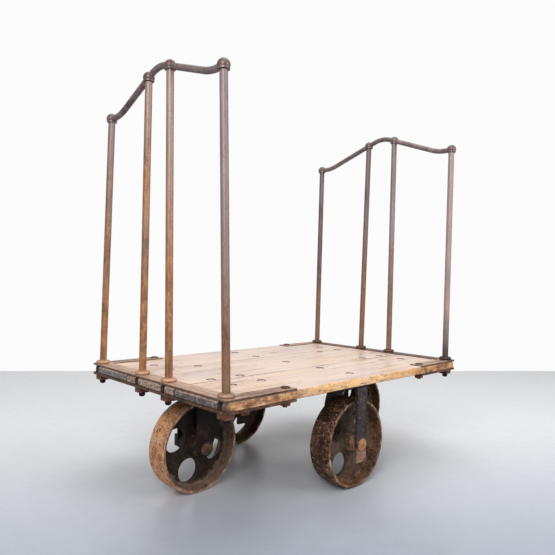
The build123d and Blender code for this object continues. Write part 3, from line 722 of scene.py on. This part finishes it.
def soften(names, radius):
    """Round the sharp edges of CAD nodes a little."""
    for name in names:
        weld = cad_nodes[name].modifiers.new("Weld", "WELD")
        weld.merge_threshold = WELD_GAP
        bevel = cad_nodes[name].modifiers.new("Soft edges", "BEVEL")
        bevel.width = radius
        bevel.segments = 2
        bevel.limit_method = "ANGLE"
        bevel.angle_limit = BEVEL_ANGLE
        bevel.use_clamp_overlap = True


def solid_boxes(name):
    """Lowest and highest corners of each separate solid in a CAD node."""
    shape = bmesh.new()
    shape.from_mesh(cad_nodes[name].data)
    bmesh.ops.remove_doubles(shape, verts=shape.verts, dist=1e-6)
    seen = set()
    boxes = []
    for first in shape.verts:
        if first in seen:
            continue
        seen.add(first)
        stack = [first]
        found = []
        while stack:
            vert = stack.pop()
            found.append(vert.co)
            for edge in vert.link_edges:
                other = edge.other_vert(vert)
                if other not in seen:
                    seen.add(other)
                    stack.append(other)
        low = Vector([min(point[axis] for point in found) for axis in range(3)])
        high = Vector([max(point[axis] for point in found) for axis in range(3)])
        boxes.append((low, high))
    shape.free()
    return boxes


def smooth(mesh):
    """Smooth shading, but for the sharp edges."""
    for face in mesh.polygons:
        face.use_smooth = True
    mesh.set_sharp_from_angle(angle=SHARP_ANGLE)


def show(name, shape, material):
    """A shown object made from a bmesh."""
    mesh = bpy.data.meshes.new(name)
    shape.to_mesh(mesh)
    shape.free()
    mesh.materials.append(material)
    smooth(mesh)
    piece = bpy.data.objects.new(name, mesh)
    bpy.context.scene.collection.objects.link(piece)
    return piece


def ripple(x, y, z, scale):
    """Smooth noise from -1 to 1 at a place."""
    return noise.noise(Vector((x, y, z)) * scale)


class BoardShape:
    """The worn outline of one deck board, section by section."""

    arm_width = 0.044
    seat_gap = 0.0004
    rebate_step = 0.0004
    row_margin = 0.008
    end_shrink = 0.0012
    shrink_reach = 0.006
    drop_reach = 0.009
    foot_round = 0.0016
    dent_depth = 0.0006
    # How far the middle of a rounded edge stands in from the corner, as a share of its radius
    arc_middle = 0.29

    def __init__(self, name, deck):
        self.deck = deck
        self.low, self.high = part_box(name)
        self.seat = STRAP_LOW.z - self.seat_gap
        self.arm_start = STRAP_LOW.x
        self.arm_edge = STRAP_HIGH.y - self.arm_width
        self.outer_side = 0
        if self.high.y > self.arm_edge:
            self.outer_side = 1
        if self.low.y < -self.arm_edge:
            self.outer_side = -1

    def holds(self, y):
        """Whether a place across the deck lies on this board."""
        return self.low.y < y < self.high.y

    def stations(self):
        """Places along the board, with a pair at each step of the rebates."""
        reach = self.high.x
        steps = [BAR_START] + ([self.arm_start] if self.outer_side else [])
        marks = []
        for step in steps:
            for end in (-1, 1):
                marks += [end * (step - self.rebate_step), end * (step + self.rebate_step)]
        count = int(2 * reach / self.deck.station_step)
        for index in range(count + 1):
            x = -reach + 2 * reach * index / count
            if min(abs(abs(x) - step) for step in steps) > 3 * self.rebate_step:
                marks.append(x)
        return sorted(marks)

    def rows(self):
        """Places across the top, with a pair at the edge of an arm's rebate."""
        margin = self.deck.corner_round + self.row_margin
        low, high = self.low.y + margin, self.high.y - margin
        count = int((high - low) / self.deck.row_step)
        places = [low + (high - low) * index / count for index in range(count + 1)]
        if self.outer_side:
            edge = self.outer_side * self.arm_edge
            places = [y for y in places if abs(y - edge) > 3 * self.rebate_step]
            places += [edge - self.rebate_step, edge + self.rebate_step]
        return sorted(places)

    def top(self, x, y):
        """Height of the worn top at a place."""
        if abs(x) > BAR_START:
            return self.seat
        if self.outer_side and abs(x) > self.arm_start and self.outer_side * y > self.arm_edge:
            return self.seat
        worn = 0.5 + 0.5 * ripple(x * 0.35, y, 0.0, 16.0)
        return self.high.z - self.deck.top_wear * (0.15 + 0.85 * worn)

    def edge_wear(self, x, side):
        """Rounding of a top edge at a place along it."""
        outer = side == self.outer_side
        base = self.deck.outer_wear if outer else self.deck.joint_wear
        if outer and abs(x) > self.arm_start:
            base = self.deck.strap_wear
        slow = ripple(x, side, 3.1 + self.low.y, 9.0)
        chip = max(0.0, ripple(x, side, 7.7 + self.low.y, 26.0) - 0.32)
        return base * (1.0 + 0.45 * slow + (2.6 if outer else 1.6) * chip)

    def corner_inset(self, end_gap):
        """How far the rounded corner of the deck stands back at a distance from the end."""
        radius = self.deck.corner_round
        if end_gap >= radius:
            return 0.0
        return radius - math.sqrt(radius**2 - (radius - end_gap) ** 2)

    def flank(self, x, side, edge, end_gap, shrink, drop):
        """Points of one long side at a station, from its foot up to the top."""
        wave = self.deck.side_wear * (0.5 + 0.5 * ripple(x, side, 1.3 + self.low.y, 13.0))
        dent = 0.0
        if side == self.outer_side:
            wave += self.corner_inset(end_gap)
            dent = self.dent_depth * abs(ripple(x, side * 4, 5.5, 30.0))
        else:
            wave *= 0.3
        face = edge - side * (wave + shrink)
        lip = self.edge_wear(x, side)
        crown = self.top(x, face - side * lip) - drop
        foot = self.low.z + shrink
        return [
            (face - side * self.foot_round, foot),
            (face, foot + self.foot_round),
            (face - side * dent, (foot + crown) / 2),
            (face, crown - lip),
            (face - side * lip * self.arc_middle, crown - lip * self.arc_middle),
            (face - side * lip, crown),
        ]

    def section(self, x, rows):
        """Points round the board at one station, from the low side's foot over the top."""
        end_gap = self.high.x - abs(x)
        shrink = self.end_shrink * max(0.0, 1.0 - end_gap / self.shrink_reach)
        drop = shrink + self.deck.end_drop * max(0.0, 1.0 - end_gap / self.drop_reach) ** 2
        low_flank = self.flank(x, -1, self.low.y, end_gap, shrink, drop)
        high_flank = self.flank(x, 1, self.high.y, end_gap, shrink, drop)
        across = [(y, self.top(x, y) - drop) for y in rows]
        return low_flank + across + high_flank[::-1]

    def build(self):
        """The closed loft through all stations."""
        shape = bmesh.new()
        rows = self.rows()
        rings = []
        for x in self.stations():
            rings.append([shape.verts.new((x, y, z)) for y, z in self.section(x, rows)])
        for ring, after in zip(rings, rings[1:]):
            for index in range(len(ring)):
                following = (index + 1) % len(ring)
                shape.faces.new((ring[index], after[index], after[following], ring[following]))
        shape.faces.new(rings[0])
        shape.faces.new(rings[-1][::-1])
        bmesh.ops.triangulate(shape, faces=[face for face in shape.faces if len(face.verts) > 4])
        bmesh.ops.recalc_face_normals(shape, faces=shape.faces)
        return shape


class BoardCutters:
    """The bolt bores, post notches and splits to be taken out of one board."""

    top_margin = 0.004
    bore_sides = 28
    bore_wear = 0.07
    bore_draft = 0.05
    notch_sides = 8
    notch_margin = 0.01
    split_steps = 8
    split_margin = 0.05
    split_tip = 0.00005
    split_ripple = 0.0008
    split_lengths = (0.05, 0.15)
    split_places = (0.16, 0.4)
    split_half_widths = (0.0007, 0.0014)
    split_sways = (-0.004, 0.004)
    split_depths = (0.006, 0.011)

    def __init__(self, outline, deck):
        self.outline = outline
        self.deck = deck
        self.shape = bmesh.new()

    def build(self, seed):
        """All the cutters as one bmesh."""
        self.add_bores()
        self.add_notches()
        self.add_splits(random.Random(seed))
        bmesh.ops.recalc_face_normals(self.shape, faces=self.shape.faces)
        return self.shape

    def add_prism(self, plan, low, high, draft=0.0):
        """A closed prism over a plan, its top opened out by draft times its distance from the middle."""
        middle = sum((Vector(point) for point in plan), Vector((0, 0))) / len(plan)
        bottom = [self.shape.verts.new((x, y, low)) for x, y in plan]
        top = []
        for point in plan:
            spread = middle + (Vector(point) - middle) * (1 + draft)
            top.append(self.shape.verts.new((spread.x, spread.y, high)))
        for index in range(len(plan)):
            after = (index + 1) % len(plan)
            self.shape.faces.new((bottom[index], bottom[after], top[after], top[index]))
        self.shape.faces.new(bottom[::-1])
        self.shape.faces.new(top)

    def solids_here(self, name):
        """Middle and highest corner of each solid of a CAD node that lies within this board's width."""
        for low, high in solid_boxes(name):
            middle = (low + high) / 2
            if self.outline.holds(middle.y):
                yield middle, high

    def add_bores(self):
        """Worn round bores over the sunk bolt heads."""
        top = self.outline.high.z + self.top_margin
        for name in SUNK_BOLTS:
            for middle, high in self.solids_here(name):
                plan = []
                for index in range(self.bore_sides):
                    turn = math.tau * index / self.bore_sides
                    along, across = math.cos(turn), math.sin(turn)
                    wear = self.bore_wear * ripple(along, across, middle.x * 9, 1.4)
                    radius = self.deck.bore_radius * (1 + wear)
                    plan.append((middle.x + radius * along, middle.y + radius * across))
                self.add_prism(plan, high.z - self.deck.bore_depth, top, self.bore_draft)

    def add_notches(self):
        """Round-ended notches in the board's ends, for the posts."""
        radius = self.deck.notch_radius
        outside = self.outline.high.x + self.notch_margin
        low = self.outline.low.z - self.notch_margin
        high = self.outline.high.z + self.notch_margin
        for end_name, end in ENDS.items():
            for middle, _ in self.solids_here(f"{end_name}_post_nuts"):
                plan = [(outside, middle.y + radius), (outside, middle.y - radius)]
                for index in range(self.notch_sides + 1):
                    turn = -math.pi / 2 - math.pi * index / self.notch_sides
                    x = abs(middle.x) + radius * math.cos(turn)
                    plan.append((x, middle.y + radius * math.sin(turn)))
                self.add_prism([(end * x, y) for x, y in plan], low, high)

    def add_splits(self, dice):
        """Thin splits along the grain, which bend a little and taper to their tips."""
        low, high = self.outline.low, self.outline.high
        for _ in range(self.deck.split_count):
            reach = dice.uniform(*self.split_lengths)
            x = dice.choice((-1, 1)) * dice.uniform(*self.split_places)
            y = dice.uniform(low.y + self.split_margin, high.y - self.split_margin)
            half = dice.uniform(*self.split_half_widths)
            sway = dice.uniform(*self.split_sways)
            upper = []
            lower = []
            for index in range(self.split_steps + 1):
                share = index / self.split_steps
                station = x + reach * (share - 0.5)
                width = half * math.sin(math.pi * share) + self.split_tip
                line = y + sway * math.sin(2.4 * share) + self.split_ripple * ripple(share, y, x, 6.0)
                upper.append((station, line + width))
                lower.append((station, line - width))
            depth = dice.uniform(*self.split_depths)
            self.add_prism(lower + upper[::-1], high.z - depth, high.z + self.top_margin)


def cut(piece, cutter_shape):
    """Take the cutters out of a piece and apply the result."""
    mesh = bpy.data.meshes.new("cutters")
    cutter_shape.to_mesh(mesh)
    cutter_shape.free()
    cutters = bpy.data.objects.new("cutters", mesh)
    bpy.context.scene.collection.objects.link(cutters)
    modifier = piece.modifiers.new("Bores and splits", "BOOLEAN")
    modifier.operation = "DIFFERENCE"
    modifier.solver = "EXACT"
    modifier.object = cutters
    depsgraph = bpy.context.evaluated_depsgraph_get()
    result = bpy.data.meshes.new_from_object(piece.evaluated_get(depsgraph))
    if not result.polygons:
        raise RuntimeError(f"{piece.name}: the cut left nothing")
    piece.modifiers.clear()
    uncut = piece.data
    name = uncut.name
    piece.data = result
    bpy.data.meshes.remove(uncut)
    result.name = name
    bpy.data.objects.remove(cutters)
    bpy.data.meshes.remove(mesh)
    smooth(result)


class TRUCK_OT_boards(bpy.types.Operator):
    """Build the three worn boards of the deck"""

    bl_idname = "truck.boards"
    bl_label = "Deck boards"

    def execute(self, context):
        deck = context.scene.truck.deck
        # Shift of the grain, depth of its tone, colour of the bare end grain and its share
        looks = {
            "deck_board_left": ((0.31, 0.17, 0.05), 0.4, deck.ash, 0.9),
            "deck_board_middle": ((1.73, 0.61, 0.4), 0.5, deck.bare, 1.0),
            "deck_board_right": ((3.1, 1.9, 0.8), 0.45, deck.ash, 0.55),
        }
        for index, (name, look) in enumerate(looks.items()):
            outline = BoardShape(name, deck)
            material = shade_board(f"waxed_{name}", deck, *look)
            piece = show(f"worn_{name}", outline.build(), material)
            cut(piece, BoardCutters(outline, deck).build(deck.split_seed + index))
            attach(piece, "truck")
            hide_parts(name)
        return {"FINISHED"}


class TRUCK_OT_straps(bpy.types.Operator):
    """Finish the flat straps at both ends of the deck"""

    bl_idname = "truck.straps"
    bl_label = "End straps"

    def execute(self, context):
        iron = context.scene.truck.iron
        waxed = (iron.tan, iron.wax, iron.rust)
        handled = (iron.tan, iron.patina, iron.umber)
        dark = (iron.rust, iron.umber, iron.black)
        rear = shade_top_strap("rear_top_strap_wax", iron, handled, waxed)
        front = shade_top_strap("front_top_strap_wax", iron, waxed, dark)
        below = shade_iron(
            "bottom_strap_rust", iron, dark, scale=22.0, dark_share=0.36, softness=0.1, grit=0.6,
            rub=iron.rust, rough=0.4, metallic=0.2,
        )
        soften([f"{end}_{level}_strap" for end in ENDS for level in ("top", "bottom")], iron.edge_radius)
        dress(["rear_top_strap"], rear)
        dress(["front_top_strap"], front)
        dress([f"{end}_bottom_strap" for end in ENDS], below)
        return {"FINISHED"}


class TRUCK_OT_racks(bpy.types.Operator):
    """Finish the posts and rails of both racks"""

    bl_idname = "truck.racks"
    bl_label = "Posts and rails"

    ball_radius = 0.016
    ball_skirt = 0.0105

    def execute(self, context):
        iron = context.scene.truck.iron
        grey = (iron.steel, iron.pewter, iron.violet)
        mixed = (iron.bright, iron.pewter, iron.violet)
        pale = (iron.wax, iron.steel, iron.pewter)
        dusk = (iron.pewter, iron.violet, iron.slate)
        sooty = (iron.violet, iron.slate, iron.black)
        rusty = (iron.orange, iron.rust, iron.umber)
        dull = (iron.patina, iron.rust, iron.umber)
        # Tones of the foot and of the top, the heights where one gives way to the other, and the collar
        looks = {
            "rear_left_outer": (rusty, grey, 0.5, 1.05, iron.tan),
            "rear_left_inner": (rusty, mixed, 0.54, 1.09, iron.tan),
            "rear_right_inner": (rusty, mixed, 0.54, 1.09, iron.tan),
            "rear_right_outer": (dull, grey, 0.3, 0.85, iron.bright),
            "front_left_outer": (dull, dusk, 0.2, 0.75, iron.earth),
            "front_left_inner": (dull, dusk, 0.44, 0.99, iron.earth),
            "front_right_inner": (dull, grey, 0.3, 0.85, iron.earth),
            "front_right_outer": (sooty, pale, 0.36, 0.56, iron.earth),
        }
        for place, look in looks.items():
            name = f"{place}_post"
            ball_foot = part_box(name)[1].z - self.ball_radius - self.ball_skirt
            dress([name], shade_post(f"bar_{name}", iron, *look, ball_foot))
        rail = shade_iron(
            "rail_patina", iron, (iron.steel, iron.violet, iron.umber), scale=11.0, light_share=0.5,
            dark_share=0.28, softness=0.14, grit=0.3, rough=0.34, metallic=0.4, relief=0.00004,
        )
        dress([f"{end}_rail" for end in ENDS], rail)
        return {"FINISHED"}


class TRUCK_OT_fasteners(bpy.types.Operator):
    """Finish the bolts and nuts"""

    bl_idname = "truck.fasteners"
    bl_label = "Bolts and nuts"

    def execute(self, context):
        iron = context.scene.truck.iron
        deck = context.scene.truck.deck
        # The sunk bolt heads' upright sides take umber as painted shade round their rims.
        waxed = shade_iron(
            "bolt_wax", iron, (deck.pale, deck.warm, iron.umber), scale=60.0, light_share=0.46,
            dark_share=0.3, softness=0.1, rub=iron.umber, sides=iron.umber, rough=0.34, metallic=0.1,
            relief=0.0004,
        )
        brown = shade_iron(
            "bolt_brown", iron, (iron.patina, iron.umber, iron.black), scale=50.0, light_share=0.42,
            dark_share=0.36, rub=iron.patina, rough=0.45,
        )
        rusty = shade_iron(
            "nut_rust", iron, (iron.rust, iron.red, iron.black), scale=46.0, light_share=0.34,
            dark_share=0.46, rub=iron.rust, rough=0.55,
        )
        nuts = [f"{end}_{kind}_nuts" for end in ENDS for kind in ("post", "castor")]
        nuts += [f"{group}_nuts" for group in ("strap", "hanger", "leg")]
        soften(nuts, iron.edge_radius)
        dress(SUNK_BOLTS, waxed)
        dress(["strap_bolts"], brown)
        dress(nuts, rusty)
        return {"FINISHED"}


class TRUCK_OT_hanger(bpy.types.Operator):
    """Finish the hanger bar and the inner legs of the side wheels"""

    bl_idname = "truck.hanger"
    bl_label = "Hanger and legs"

    def execute(self, context):
        iron = context.scene.truck.iron
        axle_height = sum(corner.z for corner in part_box("left_axle")) / 2
        bar = shade_hanger("hanger_black", iron, axle_height)
        leg = shade_iron(
            "leg_black", iron, (iron.patina, iron.slate, iron.black), scale=26.0, light_share=0.2,
            dark_share=0.46, softness=0.08, fleck_share=0.1, rub=iron.umber, rough=0.44, metallic=0.3,
            relief=0.0005,
        )
        legs = [f"{side}_inner_leg" for side in SIDES]
        soften(["hanger_bar", *legs], iron.edge_radius)
        dress(["hanger_bar"], bar)
        dress(legs, leg)
        return {"FINISHED"}


class TRUCK_OT_castors(bpy.types.Operator):
    """Finish the castor plates, pins, washers and forks"""

    bl_idname = "truck.castors"
    bl_label = "Castors"

    def execute(self, context):
        iron = context.scene.truck.iron
        material = shade_iron(
            "castor_black", iron, (iron.umber, iron.black, iron.black), scale=24.0, light_share=0.34,
            rub=iron.umber, rough=0.5, metallic=0.3,
        )
        forks_and_plates = [f"{end}_castor_{kind}" for kind in ("fork", "plate") for end in ENDS]
        pins_and_washers = [f"{end}_{kind}" for end in ENDS for kind in ("king_pin", "thrust_washer")]
        soften(forks_and_plates, 2 * iron.edge_radius)
        dress(forks_and_plates + pins_and_washers, material)
        return {"FINISHED"}


class TRUCK_OT_axles(bpy.types.Operator):
    """Finish the axle bolts, their nuts and the washers"""

    bl_idname = "truck.axles"
    bl_label = "Axles"

    def execute(self, context):
        iron = context.scene.truck.iron
        looks = {
            "side": (SIDES, (iron.orange, iron.ochre, iron.umber)),
            "castor": ([f"{end}_castor" for end in ENDS], (iron.rust, iron.umber, iron.black)),
        }
        for kind, (owners, tones) in looks.items():
            material = shade_iron(
                f"{kind}_axle_rust", iron, tones, scale=46.0, light_share=0.42, dark_share=0.36,
                rub=iron.rust, rough=0.5,
            )
            pieces = [f"{owner}_{piece}" for owner in owners for piece in ("axle", "axle_nut")]
            soften(pieces, iron.edge_radius)
            dress(pieces + [f"{owner}_washers" for owner in owners], material)
        return {"FINISHED"}


class TRUCK_OT_wheels(bpy.types.Operator):
    """Finish the four cast wheels"""

    bl_idname = "truck.wheels"
    bl_label = "Wheels"

    def execute(self, context):
        iron = context.scene.truck.iron
        hinges = {joint["child"]: joint for joint in frame["joints"]}
        rusty = {
            "tread": (iron.tan, iron.orange, iron.red), "web": (iron.umber, iron.black, iron.black),
            "rim": (iron.patina, iron.dun, iron.umber), "hub": (iron.ochre, iron.umber, iron.black),
            "tread_flecks": 0.95,
        }
        brown = {
            "tread": (iron.rust, iron.cocoa, iron.black), "web": (iron.dun, iron.earth, iron.black),
            "rim": (iron.ochre, iron.cocoa, iron.black), "hub": (iron.orange, iron.ochre, iron.earth),
            "tread_flecks": 0.7,
        }
        dark = brown | {
            "web": (iron.earth, iron.umber, iron.black), "rim": (iron.earth, iron.cocoa, iron.black),
        }
        looks = {
            "left_wheel": dark, "right_wheel": brown, "rear_castor_wheel": rusty, "front_castor_wheel": brown,
        }
        for name, look in looks.items():
            hinge = hinges[name]
            dress([name], shade_wheel(f"cast_{name}", iron, hinge["pos_m"], hinge["axis"], **look))
        return {"FINISHED"}


class TRUCK_OT_stage(bpy.types.Operator):
    """Set up the camera, the pale floor and the soft light"""

    bl_idname = "truck.stage"
    bl_label = "Studio"

    floor_reach = 9.0
    shade_start = 1.2
    shade_end = 2.7
    cloud_tints = (0.965, 1.02)
    scuff_tints = (0.97, 1.02)
    aim = (0, 0, 0.5)
    lamp_sizes = {"key": 1.5, "side": 2.0, "top": 2.6}
    lamp_places = {"key": (-2.2, -1.5, 1.9), "side": (1.0, -2.8, 1.6), "top": (0.1, 0.1, 3.2)}

    def execute(self, context):
        stage = context.scene.truck.stage
        context.scene.view_settings.view_transform = "Standard"
        right, up, forward = self.set_camera(context.scene, stage)
        self.lay_floor(stage, right, up, forward)
        self.set_lights(context.scene, stage)
        self.set_surround(context.scene, stage)
        return {"FINISHED"}

    def set_camera(self, scene, stage):
        """Put the camera where the photograph was taken from. Gives its three directions."""
        level = math.cos(stage.pitch)
        forward = Vector((
            level * math.cos(stage.heading), level * math.sin(stage.heading), math.sin(stage.pitch),
        ))
        flat_right = forward.cross(Vector((0, 0, 1))).normalized()
        flat_up = flat_right.cross(forward)
        right = flat_right * math.cos(stage.roll) + flat_up * math.sin(stage.roll)
        up = right.cross(forward)
        camera = bpy.data.objects.new("camera", bpy.data.cameras.new("camera"))
        scene.collection.objects.link(camera)
        turn = Matrix((right, up, -forward)).transposed().to_4x4()
        camera.matrix_world = Matrix.Translation(stage.camera_place) @ turn
        camera.data.sensor_width = SENSOR_WIDTH
        camera.data.lens = SENSOR_WIDTH * stage.focal_pixels / PHOTO_PIXELS
        camera.data.dof.use_dof = False
        scene.camera = camera
        return right, up, forward

    def lay_floor(self, stage, right, up, forward):
        """A painted floor that ends on the picture's floor line."""
        eye = Vector(stage.camera_place)
        ends = []
        for column in (0, PHOTO_PIXELS):
            ray = forward * stage.focal_pixels + right * (column - PHOTO_PIXELS / 2)
            ray -= up * (stage.floor_line - PHOTO_PIXELS / 2)
            ends.append(eye - ray * (eye.z / ray.z))
        middle = (ends[0] + ends[1]) / 2
        along = (ends[1] - ends[0]).normalized()
        back = Vector((along.y, -along.x, 0))
        aside = along * self.floor_reach
        deep = back * self.floor_reach
        corners = [middle - aside, middle - aside + deep, middle + aside + deep, middle + aside]
        shape = bmesh.new()
        shape.faces.new([shape.verts.new(corner) for corner in corners])
        bmesh.ops.recalc_face_normals(shape, faces=shape.faces)
        floor = show("floor", shape, self.shade_floor(stage, middle, back))

    def shade_floor(self, stage, middle, back):
        """Clouded and scuffed paint, with a painted dark reflection that deepens away from the floor line."""
        material, sheet, shader, place = new_material("painted_floor")
        cloud = sheet.span(sheet.noise(place, 2.2, detail=6, rough=0.6), 0.3, 0.7, *self.cloud_tints)
        scuffs = sheet.span(sheet.noise(place, 24.0, detail=8, rough=0.75), 0.35, 0.65, *self.scuff_tints)
        depth = sheet.measure("DOT_PRODUCT", sheet.vector("SUBTRACT", place, tuple(middle)), tuple(back))
        # Painted dark reflection, laid on more deeply towards the camera's side.
        deep = sheet.span(depth, self.shade_start, self.shade_end)
        shade = sheet.cover(stage.floor, stage.painted_floor_reflection, deep)
        sheet.feed(shader.inputs["Base Color"], sheet.tint(shade, sheet.times(cloud, scuffs)))
        sheet.feed(shader.inputs["Roughness"], sheet.span(cloud, *self.cloud_tints, 0.3, 0.42))
        return material

    def set_lights(self, scene, stage):
        """A soft key to the left of the camera, a side light on the right and a softbox overhead."""
        powers = {"key": stage.key_power, "side": stage.side_power, "top": stage.top_power}
        for name, energy in powers.items():
            light = bpy.data.lights.new(name, "AREA")
            light.energy = energy
            light.size = self.lamp_sizes[name]
            lamp = bpy.data.objects.new(name, light)
            scene.collection.objects.link(lamp)
            lamp.location = self.lamp_places[name]
            way = Vector(self.aim) - lamp.location
            lamp.rotation_euler = way.to_track_quat("-Z", "Y").to_euler()

    def set_surround(self, scene, stage):
        """Even light from all round, which the camera and reflections see as white."""
        world = bpy.data.worlds.new("studio")
        scene.world = world
        world.use_nodes = True
        sheet = NodeSheet(world.node_tree)
        background = world.node_tree.nodes["Background"]
        background.inputs["Color"].default_value = (1, 1, 1, 1)
        rays = sheet.add("ShaderNodeLightPath").outputs
        seen = sheet.most(rays["Is Camera Ray"], rays["Is Glossy Ray"])
        seen = sheet.most(seen, rays["Is Transmission Ray"])
        strength = sheet.span(seen, 0, 1, stage.sky, stage.backdrop, smooth=False)
        sheet.feed(background.inputs["Strength"], strength)


class TRUCK_PT_looks(bpy.types.Panel):
    """Lists the steps that dress the truck"""

    bl_label = "Platform truck"
    bl_idname = "TRUCK_PT_looks"
    bl_space_type = "VIEW_3D"
    bl_region_type = "UI"
    bl_category = "Truck"

    def draw(self, context):
        for operator in OPERATORS:
            self.layout.operator(operator.bl_idname)


OPERATORS = (
    TRUCK_OT_boards, TRUCK_OT_straps, TRUCK_OT_racks, TRUCK_OT_fasteners, TRUCK_OT_hanger,
    TRUCK_OT_castors, TRUCK_OT_axles, TRUCK_OT_wheels, TRUCK_OT_stage,
)
CLASSES = (DeckSettings, IronSettings, StageSettings, TruckSettings, *OPERATORS, TRUCK_PT_looks)


def register():
    """Make the settings, the steps and the panel known."""
    for item in CLASSES:
        bpy.utils.register_class(item)
    bpy.types.Scene.truck = PointerProperty(type=TruckSettings)


def unregister():
    """Take them away again."""
    del bpy.types.Scene.truck
    for item in reversed(CLASSES):
        bpy.utils.unregister_class(item)


def main():
    register()
    bpy.ops.truck.boards()
    bpy.ops.truck.straps()
    bpy.ops.truck.racks()
    bpy.ops.truck.fasteners()
    bpy.ops.truck.hanger()
    bpy.ops.truck.castors()
    bpy.ops.truck.axles()
    bpy.ops.truck.wheels()
    bpy.ops.truck.stage()


if __name__ == "__main__":
    main()
